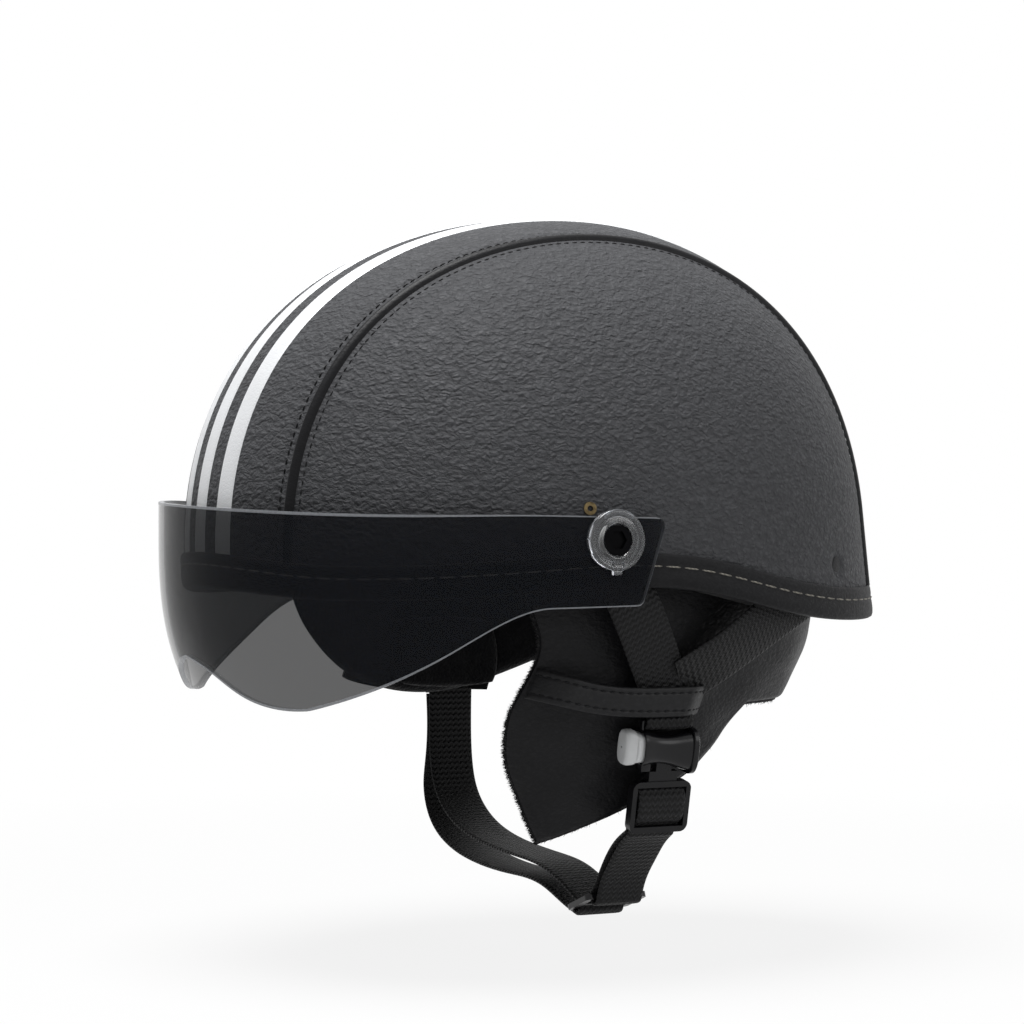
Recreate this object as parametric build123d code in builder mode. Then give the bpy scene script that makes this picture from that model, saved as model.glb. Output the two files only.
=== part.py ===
from build123d import *

# Half shell motorcycle helmet, covered in leather, with a short smoked visor, ear and neck
# flaps and a quick-release chin strap. Millimetres. The front is -Y, the wearer's left is +X
# and up is +Z. The origin is at the middle of the crown's widest level.

import os
from math import cos, hypot, radians, sin

os.makedirs("parts", exist_ok=True)

# Crown, measured on the outside of the leather
crown_half_length = 132.5
crown_half_width = 106.0
crown_height = 123.3
crown_fullness_share = 0.61
crown_tilt = 6.5
skirt_depth = 48.0

# Lower edge of the shell seen from the side, as shares of the crown's half length
rim_line_shares = (
    (-1.10, -0.058),
    (-0.89, -0.113),
    (-0.70, -0.119),
    (-0.42, -0.104),
    (-0.14, -0.086),
    (0.10, -0.099),
    (0.37, -0.152),
    (0.64, -0.187),
    (1.10, -0.182),
)

# Layers, from the outside in
layer_gap = 0.1
leather_thickness = 1.2
shell_thickness = 3.0
foam_thickness = 20.0
lining_thickness = 4.0
edge_band_thickness = 1.3
webbing_thickness = 1.4
webbing_width = 19.0
strap_pocket_height = 36.0
strap_pocket_clearance = 0.7

# Centre panel, its raised stripes and the piping at its seams
panel_half_width = 47.8
seam_gap = 0.3
piping_width = 2.8
piping_height = 1.4
stripe_thickness = 0.4
center_stripe_width = 9.4
side_stripe_width = 9.2
stripe_pitch = 17.2

# Folded edge trim
trim_thickness = 1.3
trim_height = 10.6
trim_inner_height = 7.0

# Visor shield
shield_thickness = 2.0
shield_half_length = 142.5
shield_half_width = 111.5
shield_draft = 15.0
shield_bend_draft = 2.5
shield_bend_drop = 40.3
shield_foot_drop = 80.6
shield_top_front = 17.2
shield_top_rear = 11.5
shield_lobe_offset = 49.0
shield_lobe_drop = 56.0
shield_notch_drop = 40.3
shield_bridge_offset = 17.0
shield_bridge_drop = 44.6
shield_arm_drop = 19.0
shield_arm_length = 30.0
shield_arm_rear = 13.0
shield_arm_fall = 0.7
shield_heel_rear = 3.5
shield_cheek_offset = 84.0
shield_cheek_drop = 44.4
shield_cheek_reach = 92.0
shield_corner_radius = 4.0
shield_wing_drop = 34.9

# Visor pivots
pivot_reach = 23.5
pivot_height = 3.8
pivot_thread_diameter = 5.0
pivot_shoulder_diameter = 6.5
pivot_head_diameter = 10.4
pivot_head_height = 1.6
pivot_socket_width = 6.0
pivot_shoulder_gap = 1.0
pivot_socket_depth = 1.1
running_gap = 0.08
fixed_gap = 0.05
bush_flange_diameter = 21.3
bush_flange_thickness = 2.6
bush_collar_diameter = 13.0
bush_lug_width = 5.0
bush_lug_length = 3.5
spacer_diameter = 8.4
nut_width = 9.5
nut_thickness = 2.6
nut_lead = 1.3

# Strap anchors on the shell
eyelet_reach = 29.5
eyelet_height = 14.6
eyelet_flange_diameter = 4.6
eyelet_shank_diameter = 3.2
eyelet_bore_diameter = 2.0
eyelet_flange_height = 0.5
rear_anchor_reach = 86.0
rear_anchor_height = -6.5
rivet_head_diameter = 9.0
rivet_shank_diameter = 5.0
rivet_head_height = 1.2
backing_plate_width = 10.0
backing_plate_thickness = 0.8

# Ear and neck flap. Its outer face stands inside the crown's widest outline by an inset that
# grows downward: each share row is height over the wall height, then inset at sides and ends
flap_inset = 18.0
flap_wall_height = 100.0
flap_wall_shares = (
    (0.05, 1.00, 1.00),
    (-0.24, 1.03, 1.05),
    (-0.47, 1.15, 1.42),
    (-0.60, 1.31, 2.00),
    (-0.70, 1.50, 2.60),
    (-1.12, 2.20, 3.00),
)
flap_leather_thickness = 1.4
flap_lining_thickness = 6.0
flap_gap = 0.3

# Outlines of the flap seen from the side, as shares of the drop of its left tip
flap_tip_drop = 104.6
flap_front_shares = (
    (-0.44, 0.04),
    (-0.387, -0.19),
    (-0.352, -0.325),
    (-0.427, -0.545),
    (-0.392, -0.736),
    (-0.267, -1.00),
)
flap_hem_shares = ((0.00, -0.894), (0.31, -0.73), (0.526, -0.535))
fold_shares = (
    (-0.69, 0.04),
    (-0.65, -0.19),
    (-0.564, -0.335),
    (-0.402, -0.468),
    (0.025, -0.55),
    (0.44, -0.43),
    (0.55, -0.535),
)
flap_nape_drop = 56.0
tuck_thickness = 5.0
tuck_height = 28.0
tuck_half_length = 26.0
tuck_drop = 56.5
tuck_corner_radius = 9.0

# Stitched keeper band that holds the straps on each flap
keeper_thickness = 1.4
keeper_inset = 10.6
keeper_depth = 8.8
keeper_height = 10.5
keeper_drop = 48.2
keeper_front_reach = 38.0
keeper_rear_reach = 28.0
keeper_front_rise = 7.0
keeper_bend_reach = 20.0
keeper_bend_rise = 1.6
keeper_end_length = 4.0
keeper_channel_front = 36.0
keeper_channel_rear = 22.0

# Straps on the shell
strap_top_reach = 33.0
strap_top_height = 22.0
strap_join_reach = 9.0
strap_join_drop = 50.0
strap_knee_reach = 4.0
strap_knee_drop = 44.0
strap_rear_reach = 92.0
strap_rear_drop = 5.0
strap_rear_bend_reach = 52.0
strap_rear_bend_drop = 23.5
strap_clearance = 0.3

# Swing of the straps from the shell in towards the jaw. Each share row is height over the wall
# height and swing over the whole swing
strap_wall_height = 50.0
strap_swing = 11.0
front_wall_shares = (
    (0.54, 0.175),
    (0.36, 0.076),
    (0.20, 0.022),
    (0.00, 0.00),
    (-0.36, 0.03),
    (-0.60, 0.30),
    (-1.10, 1.00),
    (-1.45, 1.12),
)
rear_wall_shares = (
    (0.20, 0.022),
    (0.00, 0.00),
    (-0.66, 0.00),
    (-0.80, 0.25),
    (-0.95, 0.68),
    (-1.10, 1.00),
    (-1.45, 1.12),
)

# Quick-release buckle, laid out on its own face: across is front to rear, up is along the strap
buckle_inset = 19.0
buckle_drop = 70.8
buckle_lean = 12.0
buckle_width = 21.0
buckle_height = 14.5
buckle_depth = 12.0
buckle_corner_radius = 5.2
buckle_flange_thickness = 2.0
buckle_flange_proud = 1.2
buckle_bar_size = 1.8
buckle_slot_height = 2.4
buckle_ear_width = 0.9
button_cap_width = 4.6
button_cap_height = 13.6
button_cap_depth = 7.4
button_cap_rise = 2.0
button_cap_radius = 2.0
button_frame_height = 6.0
button_frame_depth = 7.0
button_window_clearance = 0.8
button_frame_rear = 5.0
spring_length = 4.0
button_tail_diameter = 2.4
button_travel = 2.0
spring_wire_diameter = 0.5
spring_outer_diameter = 4.8
spring_turns = 2
tongue_width = 6.2
tongue_thickness = 2.6
tongue_reach = 3.0
adjuster_width = 23.5
adjuster_height = 18.8
adjuster_depth = 3.6
adjuster_neck_height = 3.7
adjuster_neck_width = 11.4
adjuster_window_width = 19.8
adjuster_window_height = 14.5
adjuster_corner_radius = 3.0
adjuster_bar_diameter = 2.8

# Chin strap loops and the slider that joins them, seen from the front
belt_knee_inset = 36.5
belt_knee_drop = 99.5
slider_inset = 61.0
slider_drop = 129.0
slider_slope = 20.0
slider_width = 25.0
slider_length = 17.0
slider_thickness = 2.0
slider_bar_width = 2.4
slider_corner_radius = 2.0
loop_outer_shares = (
    (-0.888, -0.60),
    (-0.882, -0.78),
    (-0.955, -1.00),
    (-0.80, -1.17),
    (-0.50, -1.24),
    (0.14, -1.24),
)
loop_inner_shares = (
    (-0.86, -0.58),
    (-0.86, -0.93),
    (-0.72, -1.10),
    (-0.27, -1.17),
    (0.12, -1.19),
)
loop_bend_radius = 14.0
loop_scale = 100.0

# Length by which cutting tools reach past what they cut
cut_overrun = 40.0
bore_overrun = 10.0

leather_out = 0
shell_out = leather_out - leather_thickness - layer_gap
shell_in = shell_out - shell_thickness
foam_out = shell_in - layer_gap
foam_pocket = foam_out - webbing_thickness - strap_pocket_clearance
foam_in = foam_out - foam_thickness
lining_out = foam_in - layer_gap
lining_in = lining_out - lining_thickness
far_out = crown_half_length + crown_height + cut_overrun
side_out = crown_half_width + cut_overrun


def dome(grow):
    """Solid crown with vertical walls below its widest level, its surface moved out by grow."""
    radius = crown_half_width + grow
    height = crown_height + grow
    with BuildPart() as form:
        with BuildSketch(Plane.XZ):
            with BuildLine():
                Bezier(
                    (radius, 0),
                    (radius, crown_fullness_share * height),
                    (crown_fullness_share * radius, height),
                    (0, height),
                )
                Polyline((0, height), (0, -skirt_depth), (radius, -skirt_depth), (radius, 0))
            make_face()
        revolve(axis=Axis.Z)
        scale(by=(1, (crown_half_length + grow) / radius, 1))
    return form.part.rotate(Axis.X, crown_tilt)


def above_rim(raised):
    """Everything higher than the shell's edge line moved up by raised."""
    points = [(crown_half_length * y, crown_half_length * z + raised) for y, z in rim_line_shares]
    with BuildPart() as region:
        with BuildSketch(Plane.YZ):
            with BuildLine():
                line = Spline(*points)
                Polyline(line @ 1, (points[-1][0], far_out), (points[0][0], far_out), line @ 0)
            make_face()
        extrude(amount=side_out, both=True)
    return region.part


def layer(outside, inside, raised):
    """One skin of the crown between two growths, down to the rim line moved up by raised."""
    with BuildPart() as skin:
        add(dome(outside))
        add(dome(inside), mode=Mode.SUBTRACT)
        add(above_rim(raised), mode=Mode.INTERSECT)
    return skin.part


def oval_form(levels, inset, tilt=crown_tilt, ruled=False):
    """Solid through level ovals given as (height, half width, half length), drawn in by inset."""
    with BuildPart() as form:
        for height, half_width, half_length in levels:
            with BuildSketch(Plane.XY.offset(height)):
                Ellipse(half_width - inset, half_length - inset)
        loft(ruled=ruled)
    return form.part.rotate(Axis.X, tilt)


def wall(levels, start, thickness, tilt=crown_tilt, ruled=False):
    """Hanging wall that starts at an inset from the level ovals and has one thickness."""
    with BuildPart() as form:
        add(oval_form(levels, start, tilt, ruled))
        add(oval_form(levels, start + thickness, tilt, ruled), mode=Mode.SUBTRACT)
    return form.part


def seen_from_side(outline, start, end):
    """Prism of a closed outline of (y, z) points between two values of x."""
    with BuildPart() as prism:
        with BuildSketch(Plane.YZ.offset(start)):
            with BuildLine():
                Polyline(*outline, close=True)
            make_face()
        extrude(amount=end - start)
    return prism.part


def save(piece, name):
    """Label one finished piece and write it."""
    piece.part.label = name
    export_step(piece.part, f"parts/{name}.step")


def save_pair(left, left_name, right_name):
    """Write a piece of the wearer's left side and its mirror image."""
    save(left, left_name)
    with BuildPart() as right:
        add(mirror(left.part, about=Plane.YZ, mode=Mode.PRIVATE))
    save(right, right_name)


# Places on the leather where something is fastened through the shell
leather = dome(leather_out)


def leather_plane(reach, height):
    """Plane on the leather at one place seen from the left side, its z axis pointing out."""
    hit, normal = leather.find_intersection_points(Axis((0, reach, height), (1, 0, 0)))[-1]
    return Plane(origin=hit, x_dir=(0, 1, 0), z_dir=normal)


eyelet_plane = leather_plane(-eyelet_reach, eyelet_height)
rear_rivet_plane = leather_plane(rear_anchor_reach, rear_anchor_height)
pivot_tangent = leather_plane(-pivot_reach, pivot_height)
pivot_plane = Plane(origin=pivot_tangent.origin, x_dir=(0, 1, 0), z_dir=(1, 0, 0))
wall_depth = leather_thickness + shell_thickness + webbing_thickness + bore_overrun


def bores(extra):
    """Left-side holes for the eyelet, the rear rivet and the pivot screw, wider by extra."""
    with BuildPart() as holes:
        for plane, diameter in (
            (eyelet_plane, eyelet_shank_diameter),
            (rear_rivet_plane, rivet_shank_diameter),
            (pivot_plane, pivot_thread_diameter),
        ):
            with BuildSketch(plane.offset(-wall_depth)):
                Circle(diameter / 2 + extra)
            extrude(amount=2 * wall_depth)
    return holes.part


left_bores = bores(fixed_gap)
right_bores = mirror(left_bores, about=Plane.YZ)

# Outer shell: moulded plastic bowl
with BuildPart() as outer_shell:
    add(layer(shell_out, shell_in, 0))
    add(left_bores, mode=Mode.SUBTRACT)
    add(right_bores, mode=Mode.SUBTRACT)
save(outer_shell, "outer_shell")

# Expanded foam liner with a pocket low down for the straps, and seats for what fastens them
nut_inset = webbing_thickness + nut_thickness - shell_in + nut_lead
seat_depth = nut_inset + strap_clearance
with BuildPart() as seats:
    for plane, width in (
        (eyelet_plane, backing_plate_width),
        (rear_rivet_plane, backing_plate_width),
        (pivot_plane, nut_width / cos(radians(30))),
    ):
        with BuildSketch(plane.offset(-seat_depth)):
            Rectangle(width + 2 * strap_clearance, width + 2 * strap_clearance)
        extrude(amount=seat_depth)
with BuildPart() as foam_liner:
    add(layer(foam_pocket, foam_in, edge_band_thickness + layer_gap))
    add(layer(foam_out, foam_pocket, strap_pocket_height))
    add(seats.part, mode=Mode.SUBTRACT)
    add(mirror(seats.part, about=Plane.YZ, mode=Mode.PRIVATE), mode=Mode.SUBTRACT)
save(foam_liner, "foam_liner")

# Padded cloth lining inside the foam
with BuildPart() as comfort_lining:
    add(layer(lining_out, lining_in, edge_band_thickness + layer_gap))
save(comfort_lining, "comfort_lining")

# Cloth band that closes the gap under the foam
with BuildPart() as edge_band:
    add(layer(foam_pocket, lining_in, 0))
    add(above_rim(edge_band_thickness), mode=Mode.SUBTRACT)
save(edge_band, "edge_band")

# Leather covers: two sides and a centre panel
cover = layer(leather_out, shell_out + layer_gap, 0)
side_panel_edge = panel_half_width + seam_gap / 2
center_panel_edge = panel_half_width - seam_gap / 2
with BuildPart() as cover_center:
    add(cover)
    split(bisect_by=Plane.YZ.offset(center_panel_edge), keep=Keep.BOTTOM)
    split(bisect_by=Plane.YZ.offset(-center_panel_edge), keep=Keep.TOP)
save(cover_center, "cover_center")
with BuildPart() as cover_left:
    add(cover)
    split(bisect_by=Plane.YZ.offset(side_panel_edge), keep=Keep.TOP)
    add(left_bores, mode=Mode.SUBTRACT)
    with BuildSketch(eyelet_plane.offset(-leather_thickness)):
        Circle(eyelet_flange_diameter / 2 + fixed_gap)
    extrude(amount=2 * leather_thickness, mode=Mode.SUBTRACT)
    with BuildSketch(rear_rivet_plane.offset(-2 * leather_thickness)):
        Circle(rivet_head_diameter / 2 + strap_clearance)
    extrude(amount=4 * leather_thickness, mode=Mode.SUBTRACT)
save_pair(cover_left, "cover_left", "cover_right")

# Piping: a cord laid in each seam, the part of it that stands proud of the leather
raised_seat = leather_out + layer_gap / 2
with BuildPart() as piping_left:
    add(layer(raised_seat + piping_height, raised_seat, trim_height + layer_gap))
    split(bisect_by=Plane.YZ.offset(panel_half_width + piping_width / 2), keep=Keep.BOTTOM)
    split(bisect_by=Plane.YZ.offset(panel_half_width - piping_width / 2), keep=Keep.TOP)
save_pair(piping_left, "piping_left", "piping_right")

# Three plain stripes laid on the centre panel
stripe_skin = layer(raised_seat + stripe_thickness, raised_seat, trim_height + layer_gap)
for name, center, width in (
    ("stripe_right", -stripe_pitch, side_stripe_width),
    ("stripe_center", 0, center_stripe_width),
    ("stripe_left", stripe_pitch, side_stripe_width),
):
    with BuildPart() as stripe:
        add(stripe_skin)
        split(bisect_by=Plane.YZ.offset(center + width / 2), keep=Keep.BOTTOM)
        split(bisect_by=Plane.YZ.offset(center - width / 2), keep=Keep.TOP)
    save(stripe, name)

# Straps: a hanging wall gives their path down the shell and their swing in towards the jaw
strap_seat = strap_clearance - shell_in


def strap_levels(shares):
    """Level ovals of the outer face of the straps."""
    return [
        (
            height * strap_wall_height,
            crown_half_width - strap_seat - swing * strap_swing,
            crown_half_length - strap_seat - swing * strap_swing,
        )
        for height, swing in shares
    ]


def strap_band(points, width):
    """Band of one width along a broken line seen from the left side."""
    with BuildPart() as band:
        with BuildSketch(Plane.YZ):
            with BuildLine():
                Polyline(*points)
            trace(line_width=width)
        extrude(amount=side_out)
    return band.part


front_line = [
    (-strap_top_reach, strap_top_height),
    (strap_knee_reach, -strap_knee_drop),
    (strap_join_reach, -strap_join_drop),
]
rear_line = [
    (strap_rear_reach, -strap_rear_drop),
    (strap_rear_bend_reach, -strap_rear_bend_drop),
    (strap_join_reach, -strap_join_drop),
]

# Edge trim: a leather strip folded over the rim, its inner fold cut away where the straps pass
trim_outside = leather_out + layer_gap + trim_thickness
trim_inside = shell_in - layer_gap - trim_thickness
with BuildPart() as strap_notches:
    for line in (front_line, rear_line):
        add(strap_band(line, webbing_width + 2 * strap_clearance))
    add(mirror(strap_notches.part, about=Plane.YZ, mode=Mode.PRIVATE))
    add(dome(shell_in - layer_gap / 2), mode=Mode.INTERSECT)
with BuildPart() as trim_room:
    add(dome(leather_out))
    add(above_rim(trim_inner_height), mode=Mode.INTERSECT)
with BuildPart() as rim_trim:
    add(layer(trim_outside, trim_inside, -trim_thickness))
    add(above_rim(trim_height), mode=Mode.SUBTRACT)
    add(layer(leather_out + layer_gap, shell_in - layer_gap, -layer_gap), mode=Mode.SUBTRACT)
    add(trim_room.part, mode=Mode.SUBTRACT)
    add(strap_notches.part, mode=Mode.SUBTRACT)
save(rim_trim, "rim_trim")

# Buckle face: its x runs to the rear, its y up along the strap and its z outward
lean = radians(buckle_lean)
buckle_face = Plane(
    origin=(crown_half_width - buckle_inset, strap_join_reach, -buckle_drop),
    x_dir=(0, 1, 0),
    z_dir=(cos(lean), 0, -sin(lean)),
)
bar_height = buckle_height / 2 + buckle_slot_height + buckle_bar_size / 2
bar_center = buckle_face.from_local_coords(Vector(0, bar_height, 0))
strap_ring_inner = hypot(buckle_bar_size, buckle_bar_size) / 2 + strap_clearance / 2
strap_ring_outer = strap_ring_inner + webbing_thickness
strap_ring_center = (bar_center.X, bar_center.Z)
ring_plane = Plane.XZ.offset(-strap_join_reach)


def front_strap(end_drop):
    """Front strap of the left side, from its eyelet down to one height below the keeper."""
    with BuildPart() as strap:
        add(wall(strap_levels(front_wall_shares), 0, webbing_thickness, ruled=True))
        add(
            strap_band(front_line + [(strap_join_reach, -end_drop)], webbing_width),
            mode=Mode.INTERSECT,
        )
        add(left_bores, mode=Mode.SUBTRACT)
    return strap.part


with BuildPart() as strap_front_left:
    add(front_strap(-bar_center.Z))
    with BuildSketch(ring_plane):
        with Locations(strap_ring_center):
            Circle(strap_ring_outer)
    extrude(amount=webbing_width / 2, both=True)
    with BuildSketch(ring_plane):
        with Locations(strap_ring_center):
            Circle(strap_ring_inner)
    extrude(amount=webbing_width, both=True, mode=Mode.SUBTRACT)
save(strap_front_left, "strap_front_left")

loop_top_drop = -loop_outer_shares[0][1] * loop_scale - strap_clearance
with BuildPart() as strap_front_right:
    add(mirror(front_strap(loop_top_drop), about=Plane.YZ, mode=Mode.PRIVATE))
save(strap_front_right, "strap_front_right")

with BuildPart() as strap_rear_left:
    add(wall(strap_levels(rear_wall_shares), 0, webbing_thickness, ruled=True))
    add(strap_band(rear_line, webbing_width), mode=Mode.INTERSECT)
    add(
        strap_band(front_line + [(strap_join_reach, -far_out)], webbing_width + 2 * layer_gap),
        mode=Mode.SUBTRACT,
    )
    with BuildSketch(Plane.YZ):
        with Locations((keeper_channel_rear - strap_clearance, -keeper_drop + strap_clearance)):
            Rectangle(keeper_rear_reach, 2 * keeper_height, align=(Align.MIN, Align.MAX))
    extrude(amount=side_out, mode=Mode.SUBTRACT)
    add(left_bores, mode=Mode.SUBTRACT)
save_pair(strap_rear_left, "strap_rear_left", "strap_rear_right")

# Eyelets and rivets, each with a square backing plate behind the strap
plate_seat = -strap_seat - webbing_thickness - strap_clearance
with BuildPart() as eyelet:
    with BuildSketch(eyelet_plane.offset(plate_seat)):
        Circle(eyelet_shank_diameter / 2)
    extrude(amount=-plate_seat)
    with BuildSketch(eyelet_plane.offset(-leather_thickness)):
        Circle(eyelet_flange_diameter / 2)
    extrude(amount=leather_thickness + eyelet_flange_height)
    with BuildSketch(eyelet_plane.offset(plate_seat)):
        Circle(eyelet_bore_diameter / 2)
    extrude(amount=wall_depth, mode=Mode.SUBTRACT)
with BuildPart() as eyelets:
    add(eyelet.part)
    add(mirror(eyelet.part, about=Plane.YZ, mode=Mode.PRIVATE))
save(eyelets, "strap_eyelets")

with BuildPart() as rivet:
    with BuildSketch(rear_rivet_plane.offset(plate_seat)):
        Circle(rivet_shank_diameter / 2)
    extrude(amount=shell_out - plate_seat)
    with BuildSketch(rear_rivet_plane.offset(shell_out + layer_gap)):
        Circle(rivet_head_diameter / 2)
    extrude(amount=rivet_head_height)
with BuildPart() as rivets:
    add(rivet.part)
    add(mirror(rivet.part, about=Plane.YZ, mode=Mode.PRIVATE))
save(rivets, "rear_rivets")

with BuildPart() as left_plates:
    for plane in (eyelet_plane, rear_rivet_plane):
        with BuildSketch(plane.offset(plate_seat - fixed_gap)):
            Rectangle(backing_plate_width, backing_plate_width)
        extrude(amount=-backing_plate_thickness)
with BuildPart() as backing_plates:
    add(left_plates.part)
    add(mirror(left_plates.part, about=Plane.YZ, mode=Mode.PRIVATE))
save(backing_plates, "backing_plates")

# Visor shield: one curved sheet, cut to a two-lobed outline from the side and from the front
shield_levels = (
    (cut_overrun, shield_half_width, shield_half_length),
    (0, shield_half_width, shield_half_length),
    (-shield_bend_drop, shield_half_width - shield_bend_draft, shield_half_length - shield_bend_draft),
    (-shield_foot_drop, shield_half_width - shield_draft, shield_half_length - shield_draft),
)
arm_end = shield_arm_rear + shield_arm_length
arm_slope = (shield_cheek_drop - shield_arm_drop) / (shield_cheek_reach - arm_end)
with BuildPart() as shield_side:
    with BuildSketch(Plane.YZ) as shield_side_sketch:
        with BuildLine():
            top = Line((-far_out, shield_top_front), (-shield_heel_rear, shield_top_rear))
            heel = Line(top @ 1, (-shield_arm_rear, -shield_arm_drop))
            arm = Line(heel @ 1, (-arm_end, -shield_arm_drop - shield_arm_fall))
            cheek = Spline(
                arm @ 1,
                (-shield_cheek_reach, -shield_cheek_drop),
                tangents=(arm % 1, Vector(-1, -arm_slope)),
            )
            Polyline(
                cheek @ 1,
                (-far_out, -shield_cheek_drop - arm_slope * (far_out - shield_cheek_reach)),
                top @ 0,
            )
        make_face()
        fillet(shield_side_sketch.vertices().sort_by_distance(top @ 1)[0], shield_corner_radius)
    extrude(amount=side_out, both=True)
lobe_points = [
    (-shield_cheek_offset, -shield_cheek_drop),
    (-shield_lobe_offset, -shield_lobe_drop),
    (-shield_bridge_offset, -shield_bridge_drop),
    (0, -shield_notch_drop),
]
lobe_points += [(-x, z) for x, z in reversed(lobe_points[:-1])]
with BuildPart() as shield_front:
    with BuildSketch(Plane.XZ):
        with BuildLine():
            lobes = Spline(*lobe_points)
            Polyline(
                lobes @ 1,
                (side_out, -shield_wing_drop),
                (side_out, side_out),
                (-side_out, side_out),
                (-side_out, -shield_wing_drop),
                lobes @ 0,
            )
        make_face()
    extrude(amount=far_out)
with BuildPart() as shield_hole:
    with BuildSketch(Plane.YZ):
        with Locations((-pivot_reach, pivot_height)):
            Circle(bush_collar_diameter / 2 + fixed_gap)
    extrude(amount=side_out, both=True)
with BuildPart() as visor_shield:
    add(wall(shield_levels, 0, shield_thickness, 0))
    add(shield_side.part, mode=Mode.INTERSECT)
    add(shield_front.part, mode=Mode.INTERSECT)
    add(shield_hole.part, mode=Mode.SUBTRACT)
save(visor_shield, "visor_shield")

# Visor pivots: a clear bush pressed in each arm turns on a shouldered screw
def pivot_x(half_width, half_length):
    """How far out an oval of the shield's kind is at the pivot."""
    return half_width * (1 - (pivot_reach / half_length) ** 2) ** (1 / 2)


shield_outer_x = pivot_x(shield_half_width, shield_half_length)
shield_inner_x = pivot_x(shield_half_width - shield_thickness, shield_half_length - shield_thickness)
bush_face_x = shield_outer_x + bush_flange_thickness
shield_tangent = Plane(
    origin=(shield_outer_x, -pivot_reach, pivot_height),
    z_dir=(shield_outer_x / shield_half_width**2, -pivot_reach / shield_half_length**2, 0),
)
head_seat_x = bush_face_x - pivot_head_height - 2 * strap_clearance
leather_x = pivot_plane.origin.X


def pivot_disc(start, end, diameter):
    """Cylinder on the pivot axis between two values of x."""
    with BuildPart() as disc:
        with BuildSketch(Plane.YZ.offset(start)):
            with Locations((-pivot_reach, pivot_height)):
                Circle(diameter / 2)
        extrude(amount=end - start)
    return disc.part


with BuildPart() as visor_bush:
    add(pivot_disc(shield_inner_x, bush_face_x, bush_flange_diameter))
    with BuildSketch(Plane.YZ.offset(shield_inner_x)):
        with Locations((-pivot_reach, pivot_height - bush_flange_diameter / 2)):
            Rectangle(bush_lug_width, 2 * bush_lug_length)
    extrude(amount=bush_face_x - shield_inner_x - bush_flange_thickness / 3)
    split(bisect_by=shield_tangent.offset(layer_gap / 2), keep=Keep.TOP)
    chamfer(visor_bush.faces().sort_by(Axis.X)[-1].edges(), length=bush_flange_thickness / 4)
    add(pivot_disc(shield_inner_x, bush_face_x - bush_flange_thickness / 4, bush_collar_diameter))
    add(pivot_disc(leather_x, side_out, pivot_shoulder_diameter + 2 * running_gap), mode=Mode.SUBTRACT)
    add(
        pivot_disc(head_seat_x - strap_clearance / 3, side_out, pivot_head_diameter + strap_clearance),
        mode=Mode.SUBTRACT,
    )
with BuildPart() as visor_bushes:
    add(visor_bush.part)
    add(mirror(visor_bush.part, about=Plane.YZ, mode=Mode.PRIVATE))
save(visor_bushes, "visor_bushes")

with BuildPart() as pivot_spacer:
    add(pivot_disc(leather_x - leather_thickness, shield_inner_x - layer_gap, spacer_diameter))
    split(bisect_by=pivot_tangent.offset(layer_gap / 2), keep=Keep.TOP)
    add(pivot_disc(0, side_out, pivot_shoulder_diameter + 2 * fixed_gap), mode=Mode.SUBTRACT)
with BuildPart() as pivot_spacers:
    add(pivot_spacer.part)
    add(mirror(pivot_spacer.part, about=Plane.YZ, mode=Mode.PRIVATE))
save(pivot_spacers, "pivot_spacers")

shoulder_start_x = leather_x + pivot_shoulder_gap
with BuildPart() as pivot_screw:
    add(pivot_disc(leather_x - nut_inset, shoulder_start_x, pivot_thread_diameter))
    add(pivot_disc(shoulder_start_x, head_seat_x, pivot_shoulder_diameter))
    add(pivot_disc(head_seat_x, head_seat_x + pivot_head_height, pivot_head_diameter))
    with BuildSketch(Plane.YZ.offset(head_seat_x + pivot_head_height)):
        with Locations((-pivot_reach, pivot_height)):
            RegularPolygon(pivot_socket_width / 2, 6, major_radius=False)
    extrude(amount=-pivot_socket_depth, mode=Mode.SUBTRACT)
with BuildPart() as pivot_screws:
    add(pivot_screw.part)
    add(mirror(pivot_screw.part, about=Plane.YZ, mode=Mode.PRIVATE))
save(pivot_screws, "pivot_screws")

with BuildPart() as pivot_nut:
    with BuildSketch(Plane.YZ.offset(leather_x - nut_inset)):
        with Locations((-pivot_reach, pivot_height)):
            RegularPolygon(nut_width / 2, 6, major_radius=False)
            Circle(pivot_thread_diameter / 2 + fixed_gap, mode=Mode.SUBTRACT)
    extrude(amount=nut_thickness)
with BuildPart() as pivot_nuts:
    add(pivot_nut.part)
    add(mirror(pivot_nut.part, about=Plane.YZ, mode=Mode.PRIVATE))
save(pivot_nuts, "pivot_nuts")

# Ear and neck flap: leather outside and a thick lining, hung below the rim
flap_levels = [
    (
        height * flap_wall_height,
        crown_half_width - flap_inset * side,
        crown_half_length - flap_inset * end,
    )
    for height, side, end in flap_wall_shares
]
flap_front = [(y * flap_tip_drop, z * flap_tip_drop) for y, z in flap_front_shares]
flap_hem = [(y * flap_tip_drop, z * flap_tip_drop) for y, z in flap_hem_shares]
flap_fold = [(y * flap_tip_drop, z * flap_tip_drop) for y, z in fold_shares]
with BuildPart() as left_flap_outline:
    with BuildSketch(Plane.YZ):
        with BuildLine():
            Spline(*flap_front)
            Spline(flap_front[-1], *flap_hem)
            Polyline(flap_hem[-1], (far_out, -flap_nape_drop), (far_out, 0), flap_front[0])
        make_face()
    extrude(amount=side_out)
with BuildPart() as right_flap_outline:
    with BuildSketch(Plane.YZ):
        with BuildLine():
            Spline(*flap_fold[:-1])
            Polyline(*flap_fold[-2:], (far_out, -flap_nape_drop), (far_out, 0), flap_fold[0])
        make_face()
    extrude(amount=-side_out)


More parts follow.
